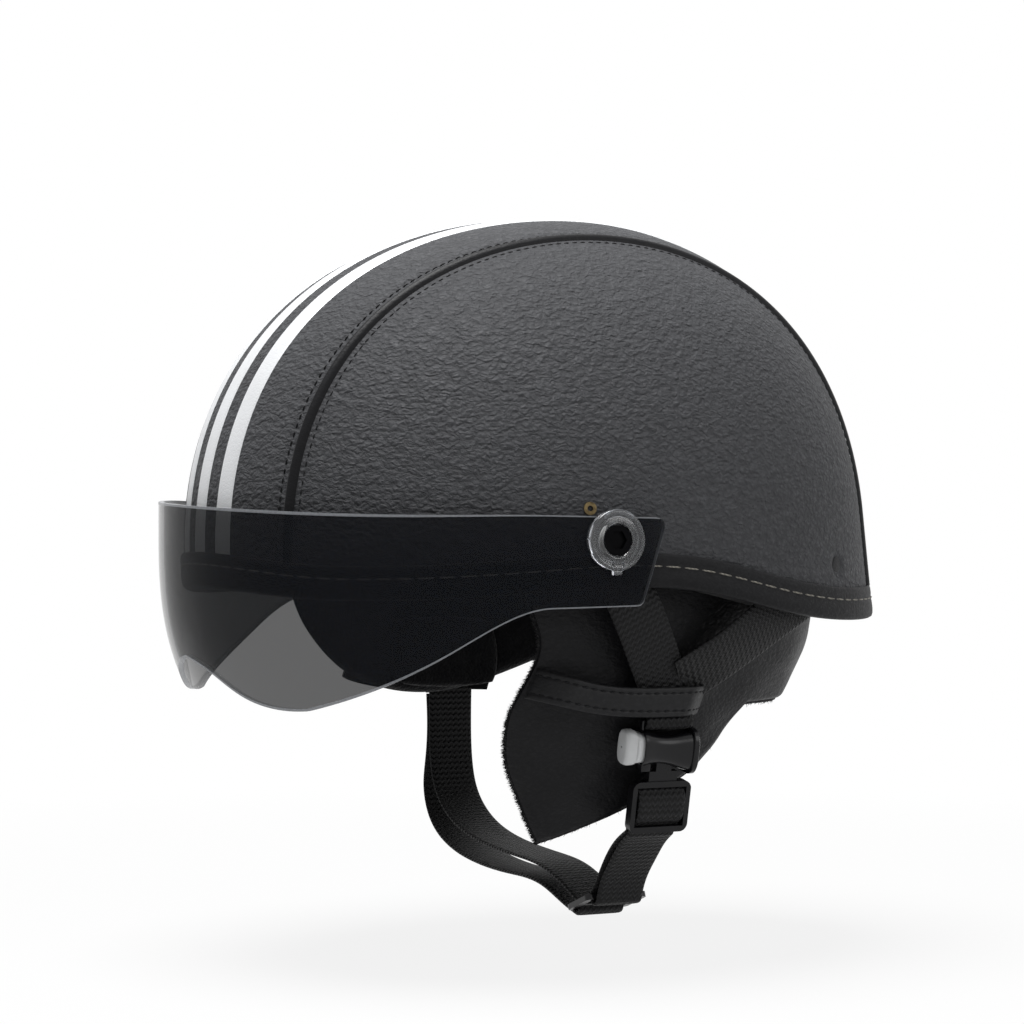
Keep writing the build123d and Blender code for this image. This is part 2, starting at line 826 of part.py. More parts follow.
def flap_layer(start, thickness):
    """One layer of the flap, cut to its outline and to the rim above it."""
    skin = wall(flap_levels, start, thickness, ruled=True)
    with BuildPart() as cloth:
        add(left_flap_outline.part)
        add(right_flap_outline.part)
        add(skin, mode=Mode.INTERSECT)
        add(above_rim(-flap_gap), mode=Mode.SUBTRACT)
    return cloth.part


with BuildPart() as neck_flap:
    add(flap_layer(0, flap_leather_thickness))
save(neck_flap, "neck_flap")
with BuildPart() as neck_flap_lining:
    add(flap_layer(flap_leather_thickness + layer_gap, flap_lining_thickness))
save(neck_flap_lining, "neck_flap_lining")

# Lower half of the right ear flap, folded up inside it
tuck_start = flap_leather_thickness + flap_lining_thickness + layer_gap + flap_gap
with BuildPart() as neck_flap_tuck:
    with BuildSketch(Plane.YZ):
        with Locations((0, tuck_height / 2 - tuck_drop)):
            RectangleRounded(2 * tuck_half_length, tuck_height, tuck_corner_radius)
    extrude(amount=-side_out)
    add(wall(flap_levels, tuck_start, tuck_thickness, ruled=True), mode=Mode.INTERSECT)
save(neck_flap_tuck, "neck_flap_tuck")

# Keeper bands: stitched to the flap at both ends, the straps pass behind
keeper_outline = [
    (-keeper_front_reach, -keeper_drop + keeper_front_rise),
    (-keeper_bend_reach, -keeper_drop + keeper_bend_rise),
    (0, -keeper_drop),
    (keeper_rear_reach, -keeper_drop),
    (keeper_rear_reach - keeper_end_length, -keeper_drop - keeper_height),
    (0, -keeper_drop - keeper_height),
    (-keeper_bend_reach, -keeper_drop - keeper_height + keeper_bend_rise),
    (-keeper_front_reach - keeper_end_length, -keeper_drop - keeper_height + keeper_front_rise),
]
keeper_levels = [
    (height, crown_half_width - inset, crown_half_length - inset)
    for height, inset in (
        (0, keeper_inset),
        (-keeper_drop, keeper_inset),
        (-keeper_drop - keeper_height, keeper_inset + keeper_thickness),
        (-2 * keeper_drop, keeper_inset + keeper_depth),
    )
]
with BuildPart() as keeper_channel:
    with BuildSketch(Plane.YZ):
        with Locations(((keeper_channel_rear - keeper_channel_front) / 2, -keeper_drop)):
            Rectangle(keeper_channel_rear + keeper_channel_front, 2 * keeper_drop)
    extrude(amount=side_out)
    add(oval_form(keeper_levels, keeper_thickness, crown_tilt), mode=Mode.INTERSECT)
with BuildPart() as keeper_left:
    add(seen_from_side(keeper_outline, 0, side_out))
    add(wall(keeper_levels, 0, keeper_depth), mode=Mode.INTERSECT)
    add(keeper_channel.part, mode=Mode.SUBTRACT)
save_pair(keeper_left, "strap_keeper_left", "strap_keeper_right")

# Buckle body: a barrel across the strap with a flange at its rear and ears for the strap bar
half_buckle = buckle_width / 2
loop_rise = buckle_slot_height + buckle_bar_size
with BuildPart() as buckle_body:
    with BuildSketch(buckle_face.offset(-buckle_depth / 2)):
        Rectangle(buckle_width, buckle_height)
    extrude(amount=buckle_depth)
    fillet(buckle_body.edges().filter_by(Axis.Y), radius=buckle_corner_radius)
    flange_depth = buckle_depth / 2 + buckle_flange_proud
    with BuildSketch(buckle_face.offset(-flange_depth)):
        with Locations((half_buckle - buckle_flange_thickness / 2, 0)):
            Rectangle(buckle_flange_thickness, buckle_height + 2 * buckle_flange_proud)
    extrude(amount=2 * flange_depth)
    outer_edges = buckle_body.edges().filter_by(Axis.Y).sort_by_distance(buckle_face.origin)[-4:]
    fillet(outer_edges, radius=buckle_corner_radius + buckle_flange_proud)
    with BuildSketch(buckle_face.offset(-buckle_bar_size / 2)):
        with Locations((0, buckle_height / 2 + loop_rise / 2 - buckle_ear_width / 2)):
            Rectangle(
                webbing_width + 2 * strap_clearance + 2 * buckle_ear_width,
                loop_rise + buckle_ear_width,
            )
    extrude(amount=buckle_bar_size)
    with BuildSketch(buckle_face.offset(-buckle_depth)):
        with Locations((0, buckle_height / 2 + buckle_slot_height / 2)):
            Rectangle(webbing_width + 2 * strap_clearance, buckle_slot_height)
    extrude(amount=2 * buckle_depth, mode=Mode.SUBTRACT)
    # Room for the release slider, open at the front, and the hole for its tail
    slider_room = button_frame_rear + spring_length
    with BuildSketch(buckle_face.offset(-button_frame_depth / 2 - running_gap)):
        with Locations(((slider_room - half_buckle) / 2, 0)):
            Rectangle(slider_room + half_buckle, button_frame_height + 2 * running_gap)
    extrude(amount=button_frame_depth + 2 * running_gap, mode=Mode.SUBTRACT)
    rear_end = buckle_face.from_local_coords(Vector(half_buckle, 0, 0))
    with BuildSketch(Plane(origin=rear_end, x_dir=buckle_face.z_dir, z_dir=(0, -1, 0))):
        Circle(button_tail_diameter / 2 + running_gap)
    extrude(amount=half_buckle, mode=Mode.SUBTRACT)
    # Mouth for the tongue, open below
    mouth_height = buckle_height / 2 + tongue_reach + strap_clearance
    with BuildSketch(buckle_face.offset(-tongue_thickness / 2 - running_gap)):
        with Locations((0, mouth_height / 2 - buckle_height / 2)):
            Rectangle(tongue_width + 2 * running_gap, mouth_height)
    extrude(amount=tongue_thickness + 2 * running_gap, mode=Mode.SUBTRACT)
save(buckle_body, "buckle_body")

# Release slider: a cap to press, a frame that the tongue passes through and a tail
with BuildPart() as release_button:
    with BuildSketch(buckle_face.offset(-button_cap_depth / 2)):
        cap_middle = -half_buckle - strap_clearance - button_travel - button_cap_width / 2
        with Locations((cap_middle, button_cap_rise)):
            RectangleRounded(button_cap_width, button_cap_height, button_cap_radius)
    extrude(amount=button_cap_depth)
    frame_front = -half_buckle - button_travel - strap_clearance - button_cap_radius
    with BuildSketch(buckle_face.offset(-button_frame_depth / 2)):
        with Locations(((button_frame_rear + frame_front) / 2, 0)):
            Rectangle(button_frame_rear - frame_front, button_frame_height)
    extrude(amount=button_frame_depth)
    window_rear = tongue_width / 2 + button_window_clearance
    window_front = -tongue_width / 2 - button_travel - button_window_clearance
    with BuildSketch(buckle_face.offset(-tongue_thickness / 2 - button_window_clearance)):
        with Locations(((window_rear + window_front) / 2, 0)):
            Rectangle(window_rear - window_front, 2 * button_frame_height)
    extrude(amount=tongue_thickness + 2 * button_window_clearance, mode=Mode.SUBTRACT)
    tail_start = buckle_face.from_local_coords(Vector(button_frame_rear, 0, 0))
    with BuildSketch(Plane(origin=tail_start, x_dir=buckle_face.z_dir, z_dir=(0, 1, 0))):
        Circle(button_tail_diameter / 2)
    extrude(amount=half_buckle - button_frame_rear)
save(release_button, "release_button")

# Return spring round the tail, between the slider and the rear wall of its room
spring_start = buckle_face.from_local_coords(Vector(button_frame_rear + spring_wire_diameter, 0, 0))
spring_reach = spring_length - 2 * spring_wire_diameter
spring_radius = (spring_outer_diameter - spring_wire_diameter) / 2
with BuildPart() as button_spring:
    with BuildLine():
        coil = Helix(
            pitch=spring_reach / spring_turns,
            height=spring_reach,
            radius=spring_radius,
            center=spring_start,
            direction=(0, 1, 0),
        )
    with BuildSketch(Plane(origin=coil @ 0, z_dir=coil % 0)):
        RegularPolygon(spring_wire_diameter / 2, 4)
    sweep(is_frenet=True)
save(button_spring, "button_spring")

# Tongue and strap adjuster, one moulding: the tongue goes up into the buckle's mouth
neck_top = -buckle_height / 2 - strap_clearance
adjuster_middle = neck_top - adjuster_neck_height - adjuster_height / 2
neck_length = adjuster_neck_height + (adjuster_height - adjuster_window_height) / 4
with BuildPart() as buckle_tongue:
    with BuildSketch(buckle_face.offset(-tongue_thickness / 2)):
        with Locations((0, (tongue_reach + neck_top) / 2)):
            Rectangle(tongue_width, tongue_reach - neck_top)
    extrude(amount=tongue_thickness)
    chamfer(buckle_tongue.faces().sort_by(Axis.Z)[-1].edges(), length=tongue_thickness / 4)
    with BuildSketch(buckle_face.offset(-tongue_thickness / 2)):
        with Locations((0, neck_top)):
            Rectangle(adjuster_neck_width, neck_length, align=(Align.CENTER, Align.MAX))
    extrude(amount=tongue_thickness)
    with BuildSketch(buckle_face.offset(-adjuster_depth / 2)):
        with Locations((0, adjuster_middle)):
            RectangleRounded(adjuster_width, adjuster_height, adjuster_corner_radius)
            Rectangle(adjuster_window_width, adjuster_window_height, mode=Mode.SUBTRACT)
    extrude(amount=adjuster_depth)
    bar_end = buckle_face.from_local_coords(
        Vector(-adjuster_window_width / 2 - strap_clearance, adjuster_middle, 0)
    )
    with BuildSketch(Plane(origin=bar_end, x_dir=buckle_face.z_dir, z_dir=(0, 1, 0))):
        Circle(adjuster_bar_diameter / 2)
    extrude(amount=adjuster_window_width + 2 * strap_clearance)
save(buckle_tongue, "buckle_tongue")

# Chin strap: a belt of webbing between the adjuster's bar and the slider's near bar
adjuster_bar = buckle_face.from_local_coords(Vector(0, adjuster_middle, 0))
slope = radians(slider_slope)
slider_face = Plane(
    origin=(crown_half_width - slider_inset, strap_join_reach, -slider_drop),
    x_dir=(0, 1, 0),
    z_dir=(-sin(slope), 0, cos(slope)),
)
bar_offset = slider_length / 2 - slider_bar_width / 2
near_bar = slider_face.from_local_coords(Vector(0, -bar_offset, 0))
far_bar = slider_face.from_local_coords(Vector(0, bar_offset, 0))

belt_inner = hypot(slider_bar_width, slider_thickness) + 2 * strap_clearance
belt_outer = belt_inner + 2 * webbing_thickness
belt_ends = ((adjuster_bar.X, adjuster_bar.Z), (near_bar.X, near_bar.Z))
belt_knee = (crown_half_width - belt_knee_inset, -belt_knee_drop)
with BuildPart() as chin_strap:
    with BuildSketch(ring_plane):
        for width, mode in ((belt_outer, Mode.ADD), (belt_inner, Mode.SUBTRACT)):
            with BuildLine():
                FilletPolyline(belt_ends[0], belt_knee, belt_ends[1], radius=loop_bend_radius)
            trace(line_width=width, mode=mode)
            with Locations(*belt_ends):
                Circle(width / 2, mode=mode)
    extrude(amount=webbing_width / 2, both=True)
save(chin_strap, "chin_strap")

# Slider: a flat three-bar plate
with BuildPart() as strap_slider:
    with BuildSketch(slider_face.offset(-slider_thickness / 2)):
        RectangleRounded(slider_width, slider_length, slider_corner_radius)
        slot_height = (slider_length - 3 * slider_bar_width) / 2
        with GridLocations(0, slot_height + slider_bar_width, 1, 2):
            Rectangle(webbing_width + 2 * strap_clearance, slot_height, mode=Mode.SUBTRACT)
    extrude(amount=slider_thickness)
save(strap_slider, "strap_slider")

# Long loop of webbing from the right side under the chin to the slider's far bar
loop_outer = [(x * loop_scale, z * loop_scale) for x, z in loop_outer_shares]
loop_inner = [(x * loop_scale, z * loop_scale) for x, z in loop_inner_shares]
loop_reach = hypot(slider_bar_width, slider_thickness) / 2 + strap_clearance + webbing_thickness / 2
with BuildPart() as chin_loop:
    with BuildSketch(ring_plane):
        with BuildLine():
            FilletPolyline(*loop_outer, (far_bar.X, far_bar.Z - loop_reach), radius=loop_bend_radius)
        trace(line_width=webbing_thickness)
        with BuildLine():
            FilletPolyline(*loop_inner, (far_bar.X, far_bar.Z + loop_reach), radius=loop_bend_radius)
        trace(line_width=webbing_thickness)
        with Locations((far_bar.X, far_bar.Z)):
            Circle(loop_reach + webbing_thickness / 2)
            Circle(loop_reach - webbing_thickness / 2, mode=Mode.SUBTRACT)
    extrude(amount=webbing_width / 2, both=True)
save(chin_loop, "chin_loop")
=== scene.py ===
from math import cos, pi, radians, sin, tau

import bmesh
import bpy
import numpy as np
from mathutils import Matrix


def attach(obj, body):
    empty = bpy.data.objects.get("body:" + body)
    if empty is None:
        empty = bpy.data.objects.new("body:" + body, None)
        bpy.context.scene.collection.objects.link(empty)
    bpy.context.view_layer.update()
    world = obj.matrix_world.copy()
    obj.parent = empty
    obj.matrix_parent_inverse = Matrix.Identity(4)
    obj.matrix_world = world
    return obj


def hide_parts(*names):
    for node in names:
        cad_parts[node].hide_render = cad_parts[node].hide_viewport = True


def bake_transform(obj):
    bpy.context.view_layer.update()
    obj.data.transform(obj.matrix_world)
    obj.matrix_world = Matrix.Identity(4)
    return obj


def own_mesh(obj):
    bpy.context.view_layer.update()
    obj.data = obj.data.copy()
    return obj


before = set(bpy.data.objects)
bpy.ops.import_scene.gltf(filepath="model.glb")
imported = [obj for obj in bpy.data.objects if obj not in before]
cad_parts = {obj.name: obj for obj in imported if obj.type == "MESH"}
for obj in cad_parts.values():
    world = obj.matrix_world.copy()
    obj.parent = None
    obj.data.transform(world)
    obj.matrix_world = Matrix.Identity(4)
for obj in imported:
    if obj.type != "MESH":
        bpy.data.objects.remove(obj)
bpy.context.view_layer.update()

scene = bpy.context.scene
mm = 0.001

# Camera
# A long lens, level with the visor's arm, a little ahead of the wearer's left side and about
# 1.15 metres off.
camera_data = bpy.data.cameras.new("camera")
camera_data.lens = 106.86
camera_data.sensor_width = 36.0
camera = bpy.data.objects.new("camera", camera_data)
camera.location = (1.0209, -0.5294, 0.01342)
camera.rotation_euler = (radians(90), 0, radians(62.9))
scene.collection.objects.link(camera)
scene.camera = camera

# Studio
# Plain white floor below the hanging strap, a large soft lamp overhead, a weaker one at the
# side, and an even white surround that metal and glass reflect too.
floor_height = -153.0
floor_size = 9000.0


def new_finish(name, base, roughness, **sockets):
    """A material whose constants stand on its shader's own sockets."""
    finish = bpy.data.materials.new(name)
    finish.use_nodes = True
    shader = finish.node_tree.nodes["Principled BSDF"]
    shader.inputs["Base Color"].default_value = (*base, 1)
    shader.inputs["Roughness"].default_value = roughness
    for socket, value in sockets.items():
        shader.inputs[socket.replace("_", " ")].default_value = value
    return finish


def wire(finish, kind, settings=None, **inputs):
    """One more node in a material; an input is a number, a colour or another node's output."""
    node = finish.node_tree.nodes.new("ShaderNode" + kind)
    for key, value in (settings or {}).items():
        setattr(node, key, value)
    for key, value in inputs.items():
        socket = node.inputs[int(key[1:]) if key[1:].isdigit() else key.replace("_", " ")]
        if isinstance(value, bpy.types.NodeSocket):
            finish.node_tree.links.new(value, socket)
        else:
            socket.default_value = value
    return node


def shader_input(finish, socket, value):
    """Join a node's output to the material's shader."""
    shader = finish.node_tree.nodes["Principled BSDF"]
    finish.node_tree.links.new(value, shader.inputs[socket])


def calc(owner, operation, *values):
    """Result of one sum on numbers or other nodes' outputs."""
    settings = {"operation": operation}
    inputs = {f"_{i}": value for i, value in enumerate(values)}
    return wire(owner, "Math", settings, **inputs).outputs[0]


def seen_straight(owner):
    """1 for what the camera sees, also in a mirror or through glass, and 0 for light."""
    path = wire(owner, "LightPath").outputs
    through = calc(owner, "MAXIMUM", path["Is Camera Ray"], path["Is Transmission Ray"])
    return calc(owner, "MAXIMUM", through, path["Is Glossy Ray"])


floor_mesh = bpy.data.meshes.new("floor")
half_floor = floor_size * mm / 2
floor_corners = [(x * half_floor, y * half_floor, floor_height * mm)
                 for x, y in ((-1, -1), (1, -1), (1, 1), (-1, 1))]
floor_mesh.from_pydata(floor_corners, [], [(0, 1, 2, 3)])
floor = bpy.data.objects.new("floor", floor_mesh)
scene.collection.objects.link(floor)
floor_finish = new_finish("floor_white", (0.62, 0.62, 0.62), 0.9, Specular_IOR_Level=0.1)
middle_distance = wire(floor_finish, "VectorMath", {"operation": "LENGTH"},
                       _0=wire(floor_finish, "TexCoord").outputs["Object"]).outputs["Value"]
whiter = wire(floor_finish, "MapRange", _0=middle_distance, _1=0.25, _2=0.7, _3=0.87, _4=1.0)
share = calc(floor_finish, "MULTIPLY", seen_straight(floor_finish), whiter.outputs[0])
glow = wire(floor_finish, "Emission", Color=(1, 1, 1, 1), Strength=1.0)
tree = floor_finish.node_tree
floor_mix = wire(floor_finish, "MixShader", Fac=share,
                 _1=tree.nodes["Principled BSDF"].outputs[0], _2=glow.outputs[0])
tree.links.new(floor_mix.outputs[0], tree.nodes["Material Output"].inputs["Surface"])
floor_mesh.materials.append(floor_finish)

world = bpy.data.worlds.new("surround")
scene.world = world
world.use_nodes = True
tree = world.node_tree
surround = tree.nodes["Background"]
surround.inputs["Color"].default_value = (1, 1, 1, 1)
strength = wire(world, "MapRange", Value=seen_straight(world), To_Min=0.07, To_Max=1.0)
tree.links.new(strength.outputs[0], surround.inputs["Strength"])

for name, place, aim, width, power in (
    ("lamp_above", (0.1, -0.3, 1.5), (0, 0, 0), 1.1, 44.0),
    ("lamp_side", (1.3, 0.8, 0.55), (0, 0, 0.03), 0.9, 5.0),
):
    lamp_data = bpy.data.lights.new(name, "AREA")
    lamp_data.shape = "DISK"
    lamp_data.size = width
    lamp_data.energy = power
    lamp = bpy.data.objects.new(name, lamp_data)
    lamp.location = place
    direction = np.array(aim) - np.array(place)
    flat_reach = np.hypot(direction[0], direction[1])
    lamp.rotation_euler = (
        np.arctan2(flat_reach, -direction[2]), 0, np.arctan2(direction[1], direction[0]) - pi / 2
    )
    scene.collection.objects.link(lamp)
scene.view_settings.view_transform = "Standard"

# Outer shell and foam liner
# Moulded plastic bowl with expanded foam pressed in it. Little of either shows once they are
# covered, so both keep their solids and get moulded plastic and beaded foam.


def object_coords(finish):
    """Coordinates that stay with the piece, in metres."""
    return wire(finish, "TexCoord").outputs["Object"]


def noise(finish, coords, size, detail=3.0, roughness=0.55):
    """Noise whose lumps are about one size in millimetres."""
    return wire(finish, "TexNoise", Vector=coords, Scale=1 / (size * mm), Detail=detail,
                Roughness=roughness).outputs[0]


def cells(finish, coords, size, feature="F1", **inputs):
    """Distances in a pattern of cells of about one size in millimetres."""
    return wire(finish, "TexVoronoi", {"feature": feature}, Vector=coords, Scale=1 / (size * mm),
                **inputs).outputs["Distance"]


def vector_calc(finish, operation, vector, by):
    """Vector after one sum with another."""
    return wire(finish, "VectorMath", {"operation": operation}, _0=vector, _1=by).outputs[0]


def bump(finish, height, depth):
    """Relief of one depth in millimetres, on top of any relief there is."""
    node = wire(finish, "Bump", Height=height, Distance=depth * mm)
    shader = finish.node_tree.nodes["Principled BSDF"]
    before = shader.inputs["Normal"].links
    if before:
        finish.node_tree.links.new(before[0].from_socket, node.inputs["Normal"])
    finish.node_tree.links.new(node.outputs[0], shader.inputs["Normal"])


def remap(finish, value, low, high, start=0.0, end=1.0):
    """A value from start to end turned into one from low to high, and kept between them."""
    return wire(finish, "MapRange", _0=value, _1=start, _2=end, _3=low, _4=high).outputs[0]


def tint(finish, value, dark, light):
    """Base colour that goes from dark to light with a value."""
    mix = wire(finish, "Mix", {"data_type": "RGBA"}, _0=value, _6=(*dark, 1), _7=(*light, 1))
    shader_input(finish, "Base Color", mix.outputs[2])


def moulded(name, base, roughness, texture_size=0.5, texture_depth=0.02, **sockets):
    """Moulded plastic: faint orange peel, a little uneven gloss and slightly worn colour."""
    finish = new_finish(name, base, roughness, **sockets)
    coords = object_coords(finish)
    fine = noise(finish, coords, texture_size)
    broad = noise(finish, coords, texture_size * 12)
    shader_input(finish, "Roughness", remap(finish, broad, roughness * 0.8, roughness * 1.25))
    tint(finish, broad, [c * 0.85 for c in base], [c * 1.15 for c in base])
    bump(finish, fine, texture_depth)
    return finish


def refinish(node, finish):
    """A CAD node that keeps its own shape gets its real finish."""
    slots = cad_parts[node].data.materials
    slots.clear()
    slots.append(finish)


shell_finish = moulded("shell_plastic", (0.014, 0.014, 0.015), 0.42, Specular_IOR_Level=0.2)
refinish("outer_shell", shell_finish)
foam_finish = new_finish("liner_foam", (0.05, 0.05, 0.055), 0.8)
coords = object_coords(foam_finish)
beads = cells(foam_finish, coords, 3.2, "DISTANCE_TO_EDGE")
tint(foam_finish, remap(foam_finish, beads, 0, 1, 0, 0.2), (0.025,) * 3, (0.06,) * 3)
bump(foam_finish, remap(foam_finish, beads, 0, 1, 0, 0.25), 0.25)
refinish("foam_liner", foam_finish)

# Padded lining and its edge band
# Black cloth quilted over thin foam inside the liner, in gores with sewn channels, and a flat
# cloth band that closes the wall all round the rim.
half_length = 132.5
half_width = 106.0
crown_height = 123.3
fullness = 0.61
crown_tilt = radians(6.5)
wall_unit = 100.0
bezier = np.linspace(0, 1, 2001)
curve_reach = (1 - bezier) ** 3 + 3 * (1 - bezier) ** 2 * bezier
curve_reach += 3 * (1 - bezier) * bezier**2 * fullness
curve_height = 3 * (1 - bezier) ** 2 * bezier * fullness + 3 * (1 - bezier) * bezier**2
curve_height += bezier**3
rim_points = half_length * np.array([
    (-1.10, -0.058), (-0.89, -0.113), (-0.70, -0.119), (-0.42, -0.104), (-0.14, -0.086),
    (0.10, -0.099), (0.37, -0.152), (0.64, -0.187), (1.10, -0.182),
])


def halved(low, high, lower_half, steps):
    """Where a test stops holding between low and high, found by halving."""
    for _ in range(steps):
        middle = (low + high) / 2
        holds = lower_half(middle)
        low, high = np.where(holds, middle, low), np.where(holds, high, middle)
    return low


def smooth_line(points, count=200):
    """Natural cubic spline through points, as many points along it."""
    points = np.asarray(points, float)
    knots = np.concatenate([[0], np.cumsum(np.linalg.norm(np.diff(points, axis=0), axis=1))])
    steps = np.diff(knots)
    size = len(points)
    matrix = np.eye(size)
    right = np.zeros_like(points)
    for i in range(1, size - 1):
        matrix[i, i - 1:i + 2] = (steps[i - 1], 2 * (steps[i - 1] + steps[i]), steps[i])
        right[i] = 6 * ((points[i + 1] - points[i]) / steps[i]
                        - (points[i] - points[i - 1]) / steps[i - 1])
    bend = np.linalg.solve(matrix, right)
    places = np.linspace(0, knots[-1], count)
    i = np.clip(np.searchsorted(knots, places, side="right") - 1, 0, size - 2)
    a = (knots[i + 1] - places)[:, None]
    b = (places - knots[i])[:, None]
    h = steps[i][:, None]
    line = (bend[i] * a**3 + bend[i + 1] * b**3) / (6 * h)
    line += (points[i] / h - bend[i] * h / 6) * a + (points[i + 1] / h - bend[i + 1] * h / 6) * b
    return line


rim_line = smooth_line(rim_points, 400)


def rim_height(y):
    """Height of the shell's lower edge, seen from the side."""
    return np.interp(y, rim_line[:, 0], rim_line[:, 1])


sides = ((1, "left"), (-1, "right"))


def tilted(x, y, z):
    """Points of the level crown turned back by its tilt."""
    return np.stack([x + 0 * y, y * cos(crown_tilt) - z * sin(crown_tilt),
                     y * sin(crown_tilt) + z * cos(crown_tilt)], axis=-1)


def levelled(y, z):
    """Places on the tilted helmet's side, turned to the level crown."""
    return (y * cos(crown_tilt) + z * sin(crown_tilt), z * cos(crown_tilt) - y * sin(crown_tilt))


def on_meridian(azimuth, level, grow=0.0):
    """Crown surface at an azimuth; level is 0 at the widest, 1 at the top, under 0 on the wall."""
    azimuth, level, grow = np.broadcast_arrays(azimuth, level, grow)
    reach = np.where(level > 0, np.interp(level, bezier, curve_reach), 1)
    height = np.where(level > 0, np.interp(level, bezier, curve_height) * (crown_height + grow),
                      level * wall_unit)
    return tilted((half_width + grow) * reach * np.cos(azimuth),
                  (half_length + grow) * reach * np.sin(azimuth), height)


def rim_level(azimuth, grow=0.0, raised=0.0):
    """Level at which a meridian meets the shell's edge line moved up by raised."""
    azimuth, grow, raised = np.broadcast_arrays(azimuth, grow, raised)

    def below(level):
        point = on_meridian(azimuth, level, grow)
        return point[..., 2] < rim_height(point[..., 1]) + raised

    return halved(np.full(azimuth.shape, -0.7), np.full(azimuth.shape, 0.5), below, 36)


def at_rim(azimuth, grow, raised):
    """Points at a distance outside the leather and above the shell's edge line."""
    return on_meridian(azimuth, rim_level(azimuth, grow, raised), grow)


def grid_faces(rows, columns, closed=False, start=0):
    """Four-sided faces over a grid of points."""
    row = np.arange(rows - 1)[:, None]
    column = np.arange(columns if closed else columns - 1)[None]
    a = start + row * columns + column
    b = start + row * columns + (column + 1) % columns
    return np.stack([a, b, b + columns, a + columns], axis=-1).reshape(-1, 4)


def slab(outer, inner, closed=False):
    """Closed skin between two grids of points; closed joins their first and last columns."""
    rows, columns = outer.shape[:2]
    count = rows * columns
    points = np.concatenate([outer.reshape(-1, 3), inner.reshape(-1, 3)])
    faces = [grid_faces(rows, columns, closed), grid_faces(rows, columns, closed, count)[:, ::-1]]
    ring = np.arange(count).reshape(rows, columns)
    edges = [ring[0], ring[-1]] if closed else [ring[0], ring[-1], ring[:, 0], ring[:, -1]]
    for edge in edges:
        a, b = edge, np.roll(edge, -1)
        if not closed:
            a, b = edge[:-1], edge[1:]
        faces.append(np.stack([a, b, b + count, a + count], axis=-1))
    return points, np.concatenate(faces)


def make(name, points, faces, finish, body="shell", runs=None, crease=None):
    """Mesh from points in millimetres that rides on a body, if any; crease is its sharp angle."""
    mesh = bpy.data.meshes.new(name)
    mesh.from_pydata((np.asarray(points) * mm).tolist(), [], [list(map(int, f)) for f in faces])
    if runs is not None:
        layer = mesh.uv_layers.new(name="run")
        corners = np.empty(len(mesh.loops), int)
        mesh.loops.foreach_get("vertex_index", corners)
        layer.data.foreach_set("uv", np.asarray(runs, float)[corners].ravel())
    welded = bmesh.new()
    welded.from_mesh(mesh)
    bmesh.ops.remove_doubles(welded, verts=welded.verts, dist=0.002 * mm)
    bmesh.ops.dissolve_degenerate(welded, edges=welded.edges, dist=0.001 * mm)
    bmesh.ops.recalc_face_normals(welded, faces=welded.faces)
    welded.to_mesh(mesh)
    welded.free()
    mesh.shade_smooth()
    if crease:
        mesh.set_sharp_from_angle(angle=radians(crease))
    mesh.materials.append(finish)
    piece = bpy.data.objects.new(name, mesh)
    scene.collection.objects.link(piece)
    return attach(piece, body) if body else piece


cloth_finish = new_finish("lining_cloth", (0.010, 0.010, 0.011), 0.9, Sheen_Weight=0.12,
                          Sheen_Roughness=0.5, Specular_IOR_Level=0.1)
coords = object_coords(cloth_finish)
threads = [
    wire(cloth_finish, "TexWave", {"bands_direction": way}, Vector=coords, Scale=1 / (4.4 * mm),
         Distortion=0.6).outputs["Fac"]
    for way in ("X", "Y", "Z")
]
knit = calc(cloth_finish, "MULTIPLY_ADD", *threads)
tint(cloth_finish, remap(cloth_finish, noise(cloth_finish, coords, 9), 0, 1, 0.3, 0.7),
     (0.006, 0.006, 0.007), (0.015, 0.015, 0.016))
bump(cloth_finish, knit, 0.18)

lining_out = -24.6
lining_thickness = 3.9
lining_gores = 8
lining_rise = 1.5
top_level = 0.999
wall_length = 150
rim_fullness = 170 / 3.0
channel_half_width = 3.2
cross_seam = 0.42
azimuths = np.linspace(0, tau, 320, endpoint=False)
rises = np.linspace(0, 1, 70)[:, None] ** 0.9
start_level = rim_level(azimuths, lining_out, lining_rise)
levels = start_level + (top_level - start_level) * rises
channel = np.abs(((azimuths / tau * lining_gores + 0.5) % 1) - 0.5) / lining_gores * tau
channel = channel * half_width * np.interp(np.clip(levels, 0, 1), bezier, curve_reach)
cross = np.abs(rises - cross_seam) * wall_length
pillow = 1 - np.exp(-(channel / channel_half_width) ** 2)
pillow = pillow * (1 - np.exp(-(cross / channel_half_width) ** 2))
pillow = pillow * (1 - np.exp(-(rises * rim_fullness + 0.35)))
outer = on_meridian(azimuths, levels, lining_out)
inner_level = rim_level(azimuths, lining_out - lining_thickness, lining_rise)
inner_levels = inner_level + (top_level - inner_level) * rises
inner = on_meridian(azimuths, inner_levels, lining_out - 1.0 - (lining_thickness - 1.0) * pillow)
lining = make("padded_lining", *slab(outer, inner, closed=True), cloth_finish)
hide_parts("comfort_lining")

band_section = [(-6.7, 0.05), (-6.9, 0.9), (-7.6, 1.25), (-17, 1.3), (-27.4, 1.25), (-28.3, 0.9),
                (-28.5, 0.3), (-28.2, -0.1), (-27.4, -0.25), (-17, -0.15), (-7.6, -0.1)]
band_rows = np.stack([at_rim(azimuths, grow, raised) for grow, raised in band_section])
band_rows = np.concatenate([band_rows, band_rows[:1]])
band = make("edge_cloth", band_rows.reshape(-1, 3), grid_faces(*band_rows.shape[:2], True),
            cloth_finish)
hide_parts("edge_band")

# Leather covers
# Grained black leather in three panels, glued over the shell: one side panel each way and a
# long centre panel, butted at the piping and stitched down on both sides of it.
panel_half = 47.8
seam_gap = 0.3
cover_thickness = 1.1
stitch_line = 43.4
side_stitch_line = 50.9


